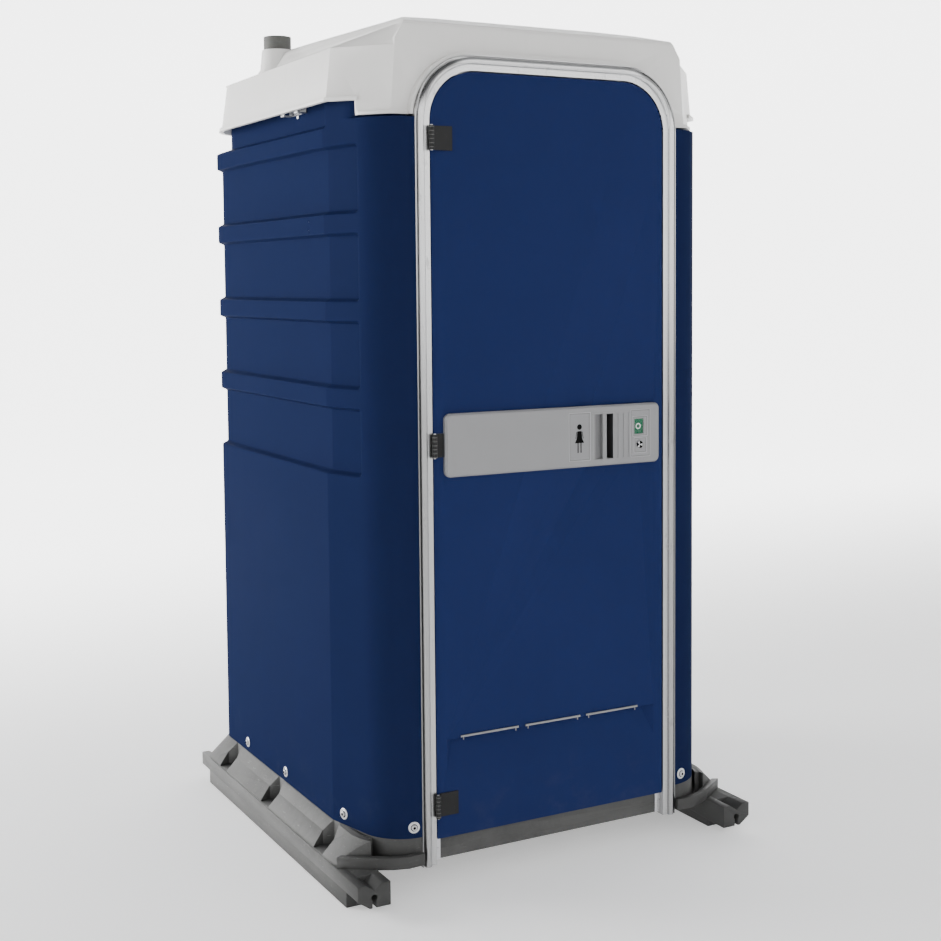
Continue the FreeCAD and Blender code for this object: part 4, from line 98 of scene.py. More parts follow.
# Stage
FLOOR_FLAT, FLOOR_BEND, FLOOR_TOP = 8.0, 4.0, 9.0  # the sweep's level radius, its bend and its upper edge
SKY_STRENGTH = 0.38
KEY_POWER, KEY_SIZE = 660, 3.0
KEY_SPOT, KEY_AIM = Vector((-6.0, 4.5, 2.4)), Vector((0.0, 0.0, 1.2))
PHOTO_WIDTH, PHOTO_FOCUS = 941.0, 1475.6  # in pixels
CAMERA_SPOT = Vector((-2.0101, -3.8255, 1.5529))
CAMERA_TURNS = (-28.259, -4.064, -0.504)  # heading, pitch and roll in degrees
CAMERA_SHIFT = -0.09


# Shader maths

class Value:
    """A socket that can be used in Python sums."""

    def __init__(self, shader, socket):
        self.shader = shader
        self.socket = socket

    def _math(self, operation, *inputs):
        return self.shader.add("ShaderNodeMath", {"operation": operation}, dict(enumerate(inputs)))

    def __add__(self, other):
        return self._math("ADD", self, other)

    def __sub__(self, other):
        return self._math("SUBTRACT", self, other)

    def __rsub__(self, other):
        return self._math("SUBTRACT", other, self)

    def __mul__(self, other):
        return self._math("MULTIPLY", self, other)

    def __gt__(self, other):
        return self._math("GREATER_THAN", self, other)

    def power(self, other):
        return self._math("POWER", self, other)

    def absolute(self):
        return self._math("ABSOLUTE", self)

    def most(self, other):
        return self._math("MAXIMUM", self, other)

    def least(self, other):
        return self._math("MINIMUM", self, other)

    def band(self, low, high, soft):
        """1 between low and high, 0 outside, with soft edges."""
        return self.smooth(low - soft, low + soft) * self.smooth(high + soft, high - soft)

    def sine(self):
        return self._math("SINE", self)

    def smooth(self, low, high, start=0.0, end=1.0):
        """Moves softly from start to end as the value goes from low to high."""
        return self.shader.add("ShaderNodeMapRange", {"interpolation_type": "SMOOTHSTEP"},
                               {0: self, 1: low, 2: high, 3: start, 4: end})


class Finish:
    """One material, built from short calls."""

    def __init__(self, name):
        self.material = bpy.data.materials.new(name)
        self.material.use_nodes = True
        self.tree = self.material.node_tree
        self.tree.nodes.clear()
        self.place = None

    def add(self, kind, settings=None, inputs=None, output=0):
        """Adds a node, makes its settings, then sets or links its inputs."""
        node = self.tree.nodes.new(kind)
        for name, value in (settings or {}).items():
            setattr(node, name, value)
        for name, value in (inputs or {}).items():
            if isinstance(value, Value):
                self.tree.links.new(value.socket, node.inputs[name])
            else:
                node.inputs[name].default_value = value
        return None if output is None else Value(self, node.outputs[output])

    def position(self, stretch=(1, 1, 1)):
        """Object coordinates in metres, stretched."""
        if self.place is None:
            self.place = self.add("ShaderNodeTexCoord", output="Object")
        return self.add("ShaderNodeMapping", None, {"Vector": self.place, "Scale": stretch})

    def axis(self, name):
        """One object coordinate in metres."""
        parts = self.tree.nodes.new("ShaderNodeSeparateXYZ")
        self.tree.links.new(self.position().socket, parts.inputs[0])
        return Value(self, parts.outputs[name])

    def noise(self, scale, detail=2.0, roughness=0.5, stretch=(1, 1, 1)):
        """Cloudy noise from 0 to 1."""
        return self.add("ShaderNodeTexNoise", None,
                        {"Vector": self.position(stretch), "Scale": scale, "Detail": detail,
                         "Roughness": roughness})

    def mix(self, factor, first, second):
        """Two colours mixed by a factor."""
        return self.add("ShaderNodeMix", {"data_type": "RGBA", "clamp_factor": True},
                        {0: factor, 6: first, 7: second}, output=2)

    def bump(self, height, distance, strength=1.0, under=None):
        """A normal from a height, laid over another normal."""
        inputs = {"Height": height, "Distance": distance, "Strength": strength}
        if under is not None:
            inputs["Normal"] = under
        return self.add("ShaderNodeBump", None, inputs)

    def surface(self, **inputs):
        """Ends the material in a Principled shader."""
        values = {name.replace("_", " "): value for name, value in inputs.items()}
        if "Specular IOR Level" not in values and "Metallic" not in values:
            values["Specular IOR Level"] = 0.35
        shader = self.add("ShaderNodeBsdfPrincipled", None, values)
        self.add("ShaderNodeOutputMaterial", None, {"Surface": shader}, output=None)
        return self.material


def shade(colour, factor):
    """A colour made lighter or darker."""
    return tuple(min(1.0, c * factor) for c in colour[:3]) + (1.0,)


def whole(colour):
    """A colour with its alpha."""
    return tuple(colour[:3]) + (1.0,)


# Finishes

def moulded_blue(name, colour):
    """Satin navy sheet: cloudy tint, fine grain and a trace of dust low down."""
    f = Finish(name)
    cloud = f.noise(2.2, 3.0)
    streak = f.noise(5.0, 3.0, 0.6, stretch=(6, 6, 0.35))
    tint = f.mix(cloud, shade(colour, 0.93), shade(colour, 1.07))
    tint = f.mix(streak.smooth(0.5, 0.85, 0.0, 0.18), tint, shade(colour, 1.2))
    dust = f.axis("Z").smooth(0.34, 0.15) * f.noise(14.0, 4.0, 0.65).smooth(0.50, 0.78)
    tint = f.mix(dust * 0.05, tint, (0.16, 0.16, 0.15, 1.0))
    grain = f.noise(900.0, 2.0, 0.6)
    wave = f.noise(6.0, 1.0)
    normal = f.bump(wave, 0.0006, 0.4, f.bump(grain, 0.00012, 0.5))
    rough = streak.smooth(0.2, 0.8, 0.36, 0.42) + dust * 0.2
    return f.surface(Base_Color=tint, Roughness=rough, Normal=normal, Specular_IOR_Level=0.001)


def moulded_white(name, colour):
    """Off-white roof moulding, a little cloudy, with faint run marks."""
    f = Finish(name)
    cloud = f.noise(3.0, 3.0)
    run = f.noise(9.0, 3.0, 0.6, stretch=(5, 5, 0.5))
    tint = f.mix(cloud, shade(colour, 0.96), shade(colour, 1.03))
    tint = f.mix(run.smooth(0.55, 0.85, 0.0, 0.22), tint, (0.55, 0.54, 0.50, 1.0))
    grain = f.noise(600.0, 2.0, 0.6)
    normal = f.bump(f.noise(9.0, 1.0), 0.0015, 0.4, f.bump(grain, 0.00012, 0.5))
    return f.surface(Base_Color=tint, Roughness=run.smooth(0.2, 0.8, 0.38, 0.5), Normal=normal, IOR=1.49)


def moulded_grey(name, colour, wear=1.0, painted_shade_ahead=None):
    """Thick grey moulding: mottled, grainy, scuffed and dusty, with painted shade ahead of a depth and
    painted shade in its hollows.
    """
    f = Finish(name)
    mottle = f.noise(22.0, 5.0, 0.7)
    patch = f.noise(5.0, 2.0)
    tint = f.mix(mottle.smooth(0.3, 0.7), shade(colour, 0.80), shade(colour, 1.16))
    tint = f.mix(patch.smooth(0.45, 0.75, 0.0, 0.5), tint, shade(colour, 1.28))
    scuff = f.noise(40.0, 4.0, 0.7, stretch=(1, 1, 5)).smooth(0.60, 0.74) * (0.35 * wear)
    tint = f.mix(scuff, tint, (0.46, 0.46, 0.45, 1.0))
    # Painted shade: the moulding turns darker towards the front, ahead of a depth.
    if painted_shade_ahead is not None:
        ahead = f.axis("Y").smooth(painted_shade_ahead[0], painted_shade_ahead[1])
        tint = f.mix(ahead * 0.8, tint, shade(colour, 0.20))
    # Painted shade: darker where the surface is hemmed in, in pockets, corners and crevices.
    occlusion = f.add("ShaderNodeAmbientOcclusion", {"samples": 8}, {"Distance": 0.10}, output="AO")
    tint = f.mix(occlusion.smooth(0.75, 0.15, 0.0, 0.8), tint, shade(colour, 0.12))
    grain = f.noise(420.0, 3.0, 0.65)
    normal = f.bump(mottle, 0.0012, 0.5, f.bump(grain, 0.0004, 0.7))
    rough = scuff * 0.3 + mottle.smooth(0.2, 0.8, 0.55, 0.72)
    return f.surface(Base_Color=tint, Roughness=rough, Normal=normal)


def grey_plate(name, colour, frames=(), hollows=()):
    """Pale grey plate with a fine grain, raised frames on its face drawn with a painted highlight and painted
    shade, and painted shade in its hollows.
    """
    f = Finish(name)
    cloud = f.noise(9.0, 2.0)
    tint = f.mix(cloud, shade(colour, 0.95), shade(colour, 1.05))
    grain = f.noise(1400.0, 2.0, 0.6)
    normal = f.bump(grain, 0.00015, 0.7)
    for left, right, low, high in frames:
        across = (f.axis("X") - (left + right) / 2).absolute() - (right - left) / 2
        upward = (f.axis("Z") - (low + high) / 2).absolute() - (high - low) / 2
        edge = across.most(upward)
        line = edge.band(-0.0008, 0.0008, 0.0006)
        # Painted highlight along each raised outline and painted shade just inside it.
        tint = f.mix(line * 0.8, tint, shade(colour, 1.8))
        tint = f.mix(edge.band(-0.0028, -0.0012, 0.0005) * 0.6, tint, shade(colour, 0.45))
        normal = f.bump(line, 0.0012, 0.8, normal)
    # Painted shade: each hollow turns darker deeper in, the slot near black.
    for left, right, face, depth, level in hollows:
        dark = f.axis("X").band(left, right, 0.0004) * f.axis("Y").smooth(face, face + depth)
        dark = dark * f.axis("Z").band(HOLLOW_HEIGHTS[0], HOLLOW_HEIGHTS[1], 0.0004)
        tint = f.mix(dark, tint, shade(colour, level))
    return f.surface(Base_Color=tint, Roughness=cloud.smooth(0.2, 0.8, 0.40, 0.50), Normal=normal)


def drawn_aluminium(name, colour):
    """Drawn aluminium: long fine lines follow the frame, and the bright and dark bands across its section are
    painted reflections and painted shade.
    """
    f = Finish(name)
    across = f.axis("X").absolute() - FRAME_BEND[0]
    upward = f.axis("Z") - FRAME_BEND[1]
    ahead = across.most(0.0)
    above = upward.most(0.0)
    reach = (ahead * ahead + above * above).power(0.5) + across.most(upward).least(0.0)
    depth = FRAME_RADIUS - reach
    line = f.add("ShaderNodeTexNoise", {"noise_dimensions": "1D"},
                 {"W": depth, "Scale": 900.0, "Detail": 3.0, "Roughness": 0.6})
    spot = f.noise(38.0, 3.0, 0.7, stretch=(1, 1, 0.4)).smooth(0.60, 0.72)
    # Painted light: brighter higher up, bright painted reflections on the middle and inner bands, painted
    # shade in the groove and round the bend, and a dark seam line.
    high = f.axis("Z").smooth(1.15, 1.65)
    middle = depth.band(0.009, 0.024, 0.001)
    inner = depth.smooth(0.0235, 0.0255)
    painted_light_tone = high * 0.45 + 0.30 + middle * 0.14 + inner * (0.30 - high * 0.1)
    groove = depth.band(0.0028, 0.0070, 0.0006)
    seam = depth.band(0.0236, 0.0248, 0.0005)
    corner = (ahead * above * 120.0).smooth(0.15, 0.8)
    painted_light_tone = painted_light_tone * (1 - groove * 0.55) * (1 - seam * 0.35) * (1 - corner * (middle * 0.55 + 0.15))
    dark, bright = shade(colour, 0.02), shade(colour, 1.25)
    tint = f.mix(painted_light_tone, dark, bright)
    tint = f.mix(line * 0.3 + spot * 0.3, tint, shade(colour, 0.35))
    rough = line.smooth(0.2, 0.8, 0.22, 0.36) + spot * 0.15
    return f.surface(Base_Color=tint, Metallic=1.0, Roughness=rough, Normal=f.bump(line, 0.00015, 0.6))


def plain_steel(name, colour, roughness=0.3):
    """Zinc-bright steel with fine cloudiness."""
    f = Finish(name)
    cloud = f.noise(180.0, 3.0, 0.6)
    tint = f.mix(cloud, shade(colour, 0.86), shade(colour, 1.04))
    normal = f.bump(f.noise(1500.0, 2.0), 0.00006, 0.6)
    rough = cloud.smooth(0.2, 0.8, roughness - 0.06, roughness + 0.1)
    return f.surface(Base_Color=tint, Metallic=1.0, Roughness=rough, Normal=normal)


def worn_black(name, colour):
    """Black paint on steel, rubbed grey here and there, with painted highlights as pale stripes on the hinge
    knuckles.
    """
    f = Finish(name)
    wear = f.noise(260.0, 4.0, 0.7).smooth(0.62, 0.74)
    tint = f.mix(wear * 0.35, whole(colour), (0.12, 0.12, 0.12, 1.0))
    # Painted highlights: a pale stripe on each hinge knuckle.
    knuckle_highlight = (f.axis("Z") * 628.0).sine().smooth(0.72, 0.92) * f.axis("X").smooth(-0.3445, -0.3465)
    tint = f.mix(knuckle_highlight * 0.4, tint, (0.28, 0.28, 0.27, 1.0))
    normal = f.bump(f.noise(700.0, 2.0), 0.0001, 0.7)
    return f.surface(Base_Color=tint, Roughness=wear * 0.12 + 0.4, Normal=normal, Specular_IOR_Level=0.2)


def smooth_black(name, colour, roughness=0.28):
    """Smooth black moulding with faint cloudiness."""
    f = Finish(name)
    cloud = f.noise(16.0, 3.0)
    tint = f.mix(cloud, shade(colour, 0.85), shade(colour, 1.2))
    normal = f.bump(f.noise(800.0, 2.0), 0.00008, 0.5)
    rough = cloud.smooth(0.2, 0.8, roughness, roughness + 0.12)
    return f.surface(Base_Color=tint, Roughness=rough, Normal=normal)


def soft_rubber(name, colour):
    """Dull rubber."""
    f = Finish(name)
    cloud = f.noise(90.0, 3.0, 0.6)
    tint = f.mix(cloud, shade(colour, 0.8), shade(colour, 1.4))
    return f.surface(Base_Color=tint, Roughness=0.78, Normal=f.bump(cloud, 0.0003, 0.6))


def soft_paper(name, colour):
    """Embossed soft paper with wound layers showing on the ends."""
    f = Finish(name)
    across = f.axis("X") - ROLL_AXIS[0]
    up = f.axis("Z") - ROLL_AXIS[1]
    radius = (across * across + up * up).power(0.5)
    layer = (radius * 4200.0).sine() * 0.5 + 0.5
    fibre = f.noise(500.0, 4.0, 0.7)
    tint = f.mix(layer * 0.25 + fibre * 0.2, whole(colour), shade(colour, 0.80))
    dots = f.add("ShaderNodeTexVoronoi", {"feature": "SMOOTH_F1"}, {"Vector": f.position(), "Scale": 190.0})
    normal = f.bump(dots, 0.0006, 0.5, f.bump(layer, 0.0002, 0.5))
    return f.surface(Base_Color=tint, Roughness=0.9, Normal=normal)


def clear_window(name):
    """Clear lens with a trace of haze."""
    f = Finish(name)
    haze = f.noise(120.0, 3.0).smooth(0.4, 0.8, 0.04, 0.12)
    return f.surface(Base_Color=(0.96, 0.98, 0.97, 1.0), Roughness=haze, Alpha=0.02, Specular_IOR_Level=0.1)


def two_colour_flag(name, green, red):
    """Green where the flag shows in the window at rest, red where it shows once the bolt is out."""
    f = Finish(name)
    is_green = f.axis("X") > FLAG_SPLIT
    cloud = f.noise(70.0, 2.0)
    tint = f.mix(is_green, whole(red), whole(green))
    tint = f.mix(cloud * 0.2, tint, (0.02, 0.02, 0.02, 1.0))
    normal = f.bump(cloud, 0.0002, 0.5)
    return f.surface(Base_Color=tint, Roughness=0.5, Normal=normal, Specular_IOR_Level=0.03)


def plain_ink(name, colour):
    """Flat printed ink."""
    f = Finish(name)
    cloud = f.noise(300.0, 3.0, 0.6)
    tint = f.mix(cloud, shade(colour, 0.85), shade(colour, 1.15))
    normal = f.bump(cloud, 0.0001, 0.4)
    return f.surface(Base_Color=tint, Roughness=0.5, Normal=normal, Specular_IOR_Level=0.03)


def stage_floor(name, colour):
    """Pale sweep that glows a little everywhere and strongly behind the cabin, so that no horizon shows."""
    f = Finish(name)
    cloud = f.noise(1.2, 2.0)
    tint = f.mix(cloud, shade(colour, 0.985), whole(colour))
    behind = f.axis("X").smooth(-4.0, -0.5) * f.axis("Y").smooth(0.5, 5.0)
    glow = f.mix(behind * 0.85 + 0.15, (0.0, 0.0, 0.0, 1.0), (1.0, 1.0, 1.0, 1.0))
    return f.surface(Base_Color=tint, Roughness=0.85, Emission_Color=glow, Emission_Strength=3.0)


# Mesh helpers

def dress(obj, material, smooth_angle=None):
    """Gives a whole object one material, smooth where its faces meet at less than an angle."""
    obj.data.materials.clear()
    obj.data.materials.append(material)
    if smooth_angle is not None:
        for polygon in obj.data.polygons:
            polygon.use_smooth = True
        obj.data.set_sharp_from_angle(angle=math.radians(smooth_angle))
    return obj


def new_piece(name, mesh, material, body, smooth_angle=35):
    """Links a finished mesh as a piece that rides on a body."""
    obj = bpy.data.objects.new(name, mesh)
    bpy.context.scene.collection.objects.link(obj)
    dress(obj, material, smooth_angle)
    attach(obj, body)
    return obj


def body_of_node(name):
    """The body that a CAD node rides on."""
    for body, members in frame["record"]["behaviour"]["bodies"].items():
        if name in members:
            return body
    raise RuntimeError("no body carries " + name)


def baked(obj):
    """A plain mesh of an object with its modifiers applied."""
    graph = bpy.context.evaluated_depsgraph_get()
    return bpy.data.meshes.new_from_object(obj.evaluated_get(graph), depsgraph=graph)


def softened(name, source, width, segments, material, angle=28.0, flat=0.5):
    """A node's own shape with rounded edges, in place of the node."""
    original = nodes[source]
    mesh = original.data.copy()
    work = bmesh.new()
    work.from_mesh(mesh)
    bmesh.ops.remove_doubles(work, verts=work.verts, dist=WELD)
    bmesh.ops.dissolve_limit(work, angle_limit=math.radians(flat), verts=work.verts, edges=work.edges)
    work.to_mesh(mesh)
    work.free()
    obj = bpy.data.objects.new(name + "_blank", mesh)
    bpy.context.scene.collection.objects.link(obj)
    bevel = obj.modifiers.new("Round", "BEVEL")
    bevel.width = width
    bevel.segments = segments
    bevel.limit_method = "ANGLE"
    bevel.angle_limit = math.radians(angle)
    bevel.use_clamp_overlap = True
    bevel.harden_normals = True
    bevel.miter_outer = "MITER_ARC"
    finished = baked(obj)
    bpy.data.objects.remove(obj)
    piece = new_piece(name, finished, material, body_of_node(source))
    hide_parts(source)
    return piece


def smoothed(value, low, high):
    """0 below low, 1 above high, with a soft change between them."""
    t = min(1.0, max(0.0, (value - low) / (high - low)))
    return t * t * (3 - 2 * t)


def spread(marks):
    """Positions along a line: marks are (end, count) pairs from 0 upwards."""
    spots = [marks[0]]
    for end, count in marks[1:]:
        start = spots[-1]
        spots += [start + (end - start) * (i + 1) / count for i in range(count)]
    return spots


class WallPlan:
    """The walls' plan outline, in metres: front arc, facet, side, rear arc and rear."""
    centre = (0.390, -0.416)
    front_radius = 0.123
    half = 0.543
    crease_y = -0.313
    rear_y = 0.555
    rear_radius = 0.045
    top_radius = 0.150

    def __init__(self, edge_x, seam_x):
        self.start = math.degrees(math.asin((edge_x - self.centre[0]) / self.front_radius)) - 90
        self.seam_x = seam_x
        self.columns = (  # closer together near the bends
            [("arc", t) for t in spread([0.0, (0.8, 14), (1.0, 8)])]
            + [("facet", t) for t in spread([0.0, (0.16, 12), (0.90, 6), (1.0, 5)])[1:]]
            + [("side", t) for t in spread([0.0, (0.02, 4), (0.97, 8), (1.0, 2)])[1:]]
            + [("turn", t) for t in spread([0.0, (1.0, 14)])[1:]]
            + [("rear", t) for t in spread([0.0, (1.0, 3)])[1:]])

    def spot(self, column, inset, rear_radius):
        """A point of the outline moved inwards by inset; a column is its part and how far along it."""
        part, t = column
        if part == "across":
            over = abs(t) - (self.half - rear_radius)
            back = rear_radius - inset
            return (t, self.rear_y - rear_radius + math.sqrt(back * back - max(0.0, over) ** 2))
        radius = self.front_radius - inset
        crease = (self.half - inset, self.crease_y + 0.1 * inset)
        across, along = crease[0] - self.centre[0], crease[1] - self.centre[1]
        reach = math.hypot(across, along)
        end = math.degrees(math.atan2(along, across) - math.acos(radius / reach))
        meet = (self.centre[0] + radius * math.cos(math.radians(end)),
                self.centre[1] + radius * math.sin(math.radians(end)))
        middle = (self.half - rear_radius, self.rear_y - rear_radius)
        back = rear_radius - inset
        if part == "arc":
            turn = math.radians(self.start + (end - self.start) * t)
            return (self.centre[0] + radius * math.cos(turn), self.centre[1] + radius * math.sin(turn))
        if part == "facet":
            return tuple(a + (b - a) * t for a, b in zip(meet, crease))
        if part == "side":
            return (self.half - inset, crease[1] + (middle[1] - crease[1]) * t)
        if middle[0] < self.seam_x:
            share = 0.9 * t if part == "turn" else 0.9 + 0.1 * t
            turn = math.acos((self.seam_x - middle[0]) / back) * share
            return (middle[0] + back * math.cos(turn), middle[1] + back * math.sin(turn))
        if part == "turn":
            turn = math.pi / 2 * t
            return (middle[0] + back * math.cos(turn), middle[1] + back * math.sin(turn))
        return (middle[0] + (self.seam_x - middle[0]) * t, self.rear_y - inset)


def wall_depth_at(plan, column, z):
    """How far the wall's face lies inside its outline: recessed panels and the set-back top band."""
    back = behind = 1.0
    if column[0] in ("arc", "facet"):
        y = plan.spot(column, 0.0, plan.rear_radius)[1]
        back = smoothed(y, *PANEL_FADE)
        behind = smoothed(y, *BAND_FADE)
    depth = 0.0
    for low in PANEL_LOWS:
        sinks = smoothed(z, low + PANEL_FOOT[0], low + PANEL_FOOT[1])
        returns = smoothed(z, low + PANEL_HEAD[0], low + PANEL_HEAD[1])
        depth += WALL_SINK * back * sinks * (1 - returns)
    return depth + WALL_SINK * behind * smoothed(z, *BAND_STEP)


def inside_roof(x, y, inset):
    """Keeps a point of the walls' upper end inside the roof's front corners."""
    y = max(y, ROOF_CORNER.y + inset)
    out = Vector((ROOF_CREASE.y - ROOF_CORNER.y, ROOF_CORNER.x - ROOF_CREASE.x)).normalized()
    excess = (Vector((x, y)) - ROOF_CORNER).dot(out) + inset
    if excess > 0:
        x, y = x - out.x * excess, y - out.y * excess
        y = max(y, ROOF_CORNER.y + inset)
    return x, y


def wall_mesh(side, seam_x, columns=None):
    """One wall panel with a soft skin outside, a plain one inside and a closed rim."""
    plan = WallPlan(FRONT_EDGE_X, seam_x)
    if columns is None:
        columns = plan.columns
    ledges = []
    for low in PANEL_LOWS:
        ledges += [(low - 0.0055, low + 0.0155), (low + 0.1595, low + 0.1805)]
    ledges += [(1.9365, 1.9560), (1.9545, 1.9655)]
    rows = list(WALL_ENDS)
    for low, high in ledges:
        rows += [low + (high - low) * i / 12 for i in range(13)]
    rows = sorted(set(rows))
    work = bmesh.new()
    skins = []
    for thick in (0.0, WALL_THICK):
        grid = []
        for z in rows:
            line = []
            grown = (plan.top_radius - plan.rear_radius) * smoothed(z, *CORNER_CHANGE)
            rear_radius = plan.rear_radius + grown
            step = smoothed(z, *ROOF_STEP)
            for column in columns:
                x, y = plan.spot(column, wall_depth_at(plan, column, z) + thick, rear_radius)
                if step > 0:
                    inside = inside_roof(x, y, thick)
                    x, y = x + (inside[0] - x) * step, y + (inside[1] - y) * step
                line.append(work.verts.new((side * x, y, z)))
            grid.append(line)
        skins.append(grid)
    outer, inner = skins
    for low, high in zip(range(len(rows) - 1), range(1, len(rows))):
        for a, b in zip(range(len(columns) - 1), range(1, len(columns))):
            work.faces.new((outer[low][a], outer[low][b], outer[high][b], outer[high][a]))
            work.faces.new((inner[low][b], inner[low][a], inner[high][a], inner[high][b]))
    for low, high in zip(range(len(rows) - 1), range(1, len(rows))):
        work.faces.new((outer[low][0], outer[high][0], inner[high][0], inner[low][0]))
        work.faces.new((outer[high][-1], outer[low][-1], inner[low][-1], inner[high][-1]))
    for a, b in zip(range(len(columns) - 1), range(1, len(columns))):
        work.faces.new((outer[0][b], outer[0][a], inner[0][a], inner[0][b]))
        work.faces.new((outer[-1][a], outer[-1][b], inner[-1][b], inner[-1][a]))
    bmesh.ops.recalc_face_normals(work, faces=work.faces)
    mesh = bpy.data.meshes.new("wall")
    work.to_mesh(mesh)
    work.free()
    return mesh


def slab(points, thick, place):
    """A flat outline given a thickness; the outline lies in X and Z and place is its near corner."""
    work = bmesh.new()
    near = [work.verts.new(place + Vector((x, 0, z))) for x, z in points]
    face = work.faces.new(near)
    made = bmesh.ops.extrude_face_region(work, geom=[face])
    moved = [v for v in made["geom"] if isinstance(v, bmesh.types.BMVert)]
    bmesh.ops.translate(work, verts=moved, vec=Vector((0, thick, 0)))
    bmesh.ops.recalc_face_normals(work, faces=work.faces)
    mesh = bpy.data.meshes.new("slab")
    work.to_mesh(mesh)
    work.free()
    return mesh


def joined(meshes, name):
    """Several meshes as one."""
    work = bmesh.new()
    for mesh in meshes:
        work.from_mesh(mesh)
    mesh = bpy.data.meshes.new(name)
    work.to_mesh(mesh)
    work.free()
    return mesh


def turned(profile, count=48, ring_shaped=False):
    """A shape turned about Z from a profile of radius and height, ending on the axis or ring-shaped."""
    work = bmesh.new()
    rings = []
    for radius, height in profile:
        if radius < 1e-7:
            rings.append([work.verts.new((0, 0, height))])
            continue
        ring = []
        for i in range(count):
            turn = 2 * math.pi * i / count
            ring.append(work.verts.new((radius * math.cos(turn), radius * math.sin(turn), height)))
        rings.append(ring)
    pairs = list(zip(rings[:-1], rings[1:]))
    if ring_shaped:
        pairs.append((rings[-1], rings[0]))
    for lower, upper in pairs:
        for i in range(count):
            j = (i + 1) % count
            corners = [lower[i % len(lower)], lower[j % len(lower)],
                       upper[j % len(upper)], upper[i % len(upper)]]
            corners = list(dict.fromkeys(corners))  # a ring on the axis is one point
            if len(corners) > 2:
                work.faces.new(corners)
    bmesh.ops.recalc_face_normals(work, faces=work.faces)
    mesh = bpy.data.meshes.new("turned")
    work.to_mesh(mesh)
    work.free()
    return mesh


def flat_ring(inner, outer, low, high, count=48):
    """A ring about Z from height low to height high."""
    return turned([(inner, low), (outer, low), (outer, high), (inner, high)], count, True)


def tipped(mesh, place):
    """A mesh tipped a quarter turn about X, then moved."""
    mesh.transform(Matrix.Translation(place) @ Matrix.Rotation(math.pi / 2, 4, "X"))
    return mesh


def repeat_rule():
    """A node tree that sets a template on every point, turned to its facing and spun by chance."""
    tree = bpy.data.node_groups.new("repeats", "GeometryNodeTree")
    for label, kind in (("Geometry", "Geometry"), ("Template", "Object"), ("Finish", "Material"),
                        ("Size", "Float"), ("Spin", "Float"), ("Seed", "Int")):
        tree.interface.new_socket(name=label, in_out="INPUT", socket_type="NodeSocket" + kind)
    tree.interface.new_socket(name="Geometry", in_out="OUTPUT", socket_type="NodeSocketGeometry")

    def add(kind, settings=None, values=None):
        node = tree.nodes.new(kind)
        for label, value in (settings or {}).items():
            setattr(node, label, value)
        for label, value in (values or {}).items():
            if isinstance(value, bpy.types.NodeSocket):
                tree.links.new(value, node.inputs[label])
            else:
                node.inputs[label].default_value = value
        return node

    given = add("NodeGroupInput").outputs
    shape = add("GeometryNodeObjectInfo", None, {"Object": given["Template"]}).outputs["Geometry"]
    facing = add("GeometryNodeInputNamedAttribute", {"data_type": "FLOAT_VECTOR"}, {"Name": "facing"})
    aimed = add("FunctionNodeAlignRotationToVector", {"axis": "Z"}, {"Vector": facing.outputs["Attribute"]})
    chance = add("FunctionNodeRandomValue", {"data_type": "FLOAT"})
    tree.links.new(given["Spin"], chance.inputs[3])
    tree.links.new(given["Seed"], chance.inputs["Seed"])
    spin = add("FunctionNodeAxisAngleToRotation", None, {"Axis": (0, 0, 1), "Angle": chance.outputs[1]})
    turn = add("FunctionNodeRotateRotation", {"rotation_space": "LOCAL"},
               {"Rotation": aimed.outputs[0], "Rotate By": spin.outputs[0]})
    copies = add("GeometryNodeInstanceOnPoints", None,
                 {"Points": given["Geometry"], "Instance": shape, "Rotation": turn.outputs[0],
                  "Scale": given["Size"]})
    real = add("GeometryNodeRealizeInstances", None, {"Geometry": copies.outputs[0]})
    done = add("GeometryNodeSetMaterial", None, {"Geometry": real.outputs[0], "Material": given["Finish"]})
    add("NodeGroupOutput", None, {"Geometry": done.outputs[0]})
    return tree


def repeated(name, template, spots, material, body, source=None, spin=6.28, seed=7):
    """One piece made of a template at each spot; spots are (place, facing)."""
    tree = bpy.data.node_groups.get("repeats") or repeat_rule()
    points = bpy.data.meshes.new(name + "_points")
    points.from_pydata([tuple(place) for place, facing in spots], [], [])
    facings = points.attributes.new("facing", "FLOAT_VECTOR", "POINT")
    for item, (place, facing) in zip(facings.data, spots):
        item.vector = facing
    model = bpy.data.objects.new(name + "_template", template)
    holder = bpy.data.objects.new(name + "_holder", points)
    for obj in (model, holder):
        bpy.context.scene.collection.objects.link(obj)
    rule = holder.modifiers.new("Repeat", "NODES")
    rule.node_group = tree
    values = {"Template": model, "Finish": material, "Size": 1.0, "Spin": spin, "Seed": seed}
    for item in tree.interface.items_tree:
        if item.in_out == "INPUT" and item.name in values:
            rule[item.identifier] = values[item.name]
    mesh = baked(holder)
    rule.node_group = None
    bpy.data.objects.remove(holder)
    bpy.data.objects.remove(model)
    piece = new_piece(name, mesh, material, body)
    if source is not None:
        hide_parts(source)
    return piece


def islands(name):
    """Centre and half size of each loose solid of a node."""
    work = bmesh.new()
    work.from_mesh(nodes[name].data)
    bmesh.ops.remove_doubles(work, verts=work.verts, dist=WELD)
    waiting = set(work.verts)
    boxes = []
    while waiting:
        group = [waiting.pop()]
        for vert in group:
            for edge in vert.link_edges:
                other = edge.other_vert(vert)
                if other in waiting:
                    waiting.remove(other)
                    group.append(other)
        low = Vector([min(v.co[i] for v in group) for i in range(3)])
        high = Vector([max(v.co[i] for v in group) for i in range(3)])
        boxes.append(((low + high) / 2, (high - low) / 2))
    work.free()
    return sorted(boxes, key=lambda box: tuple(box[0]))


# Settings

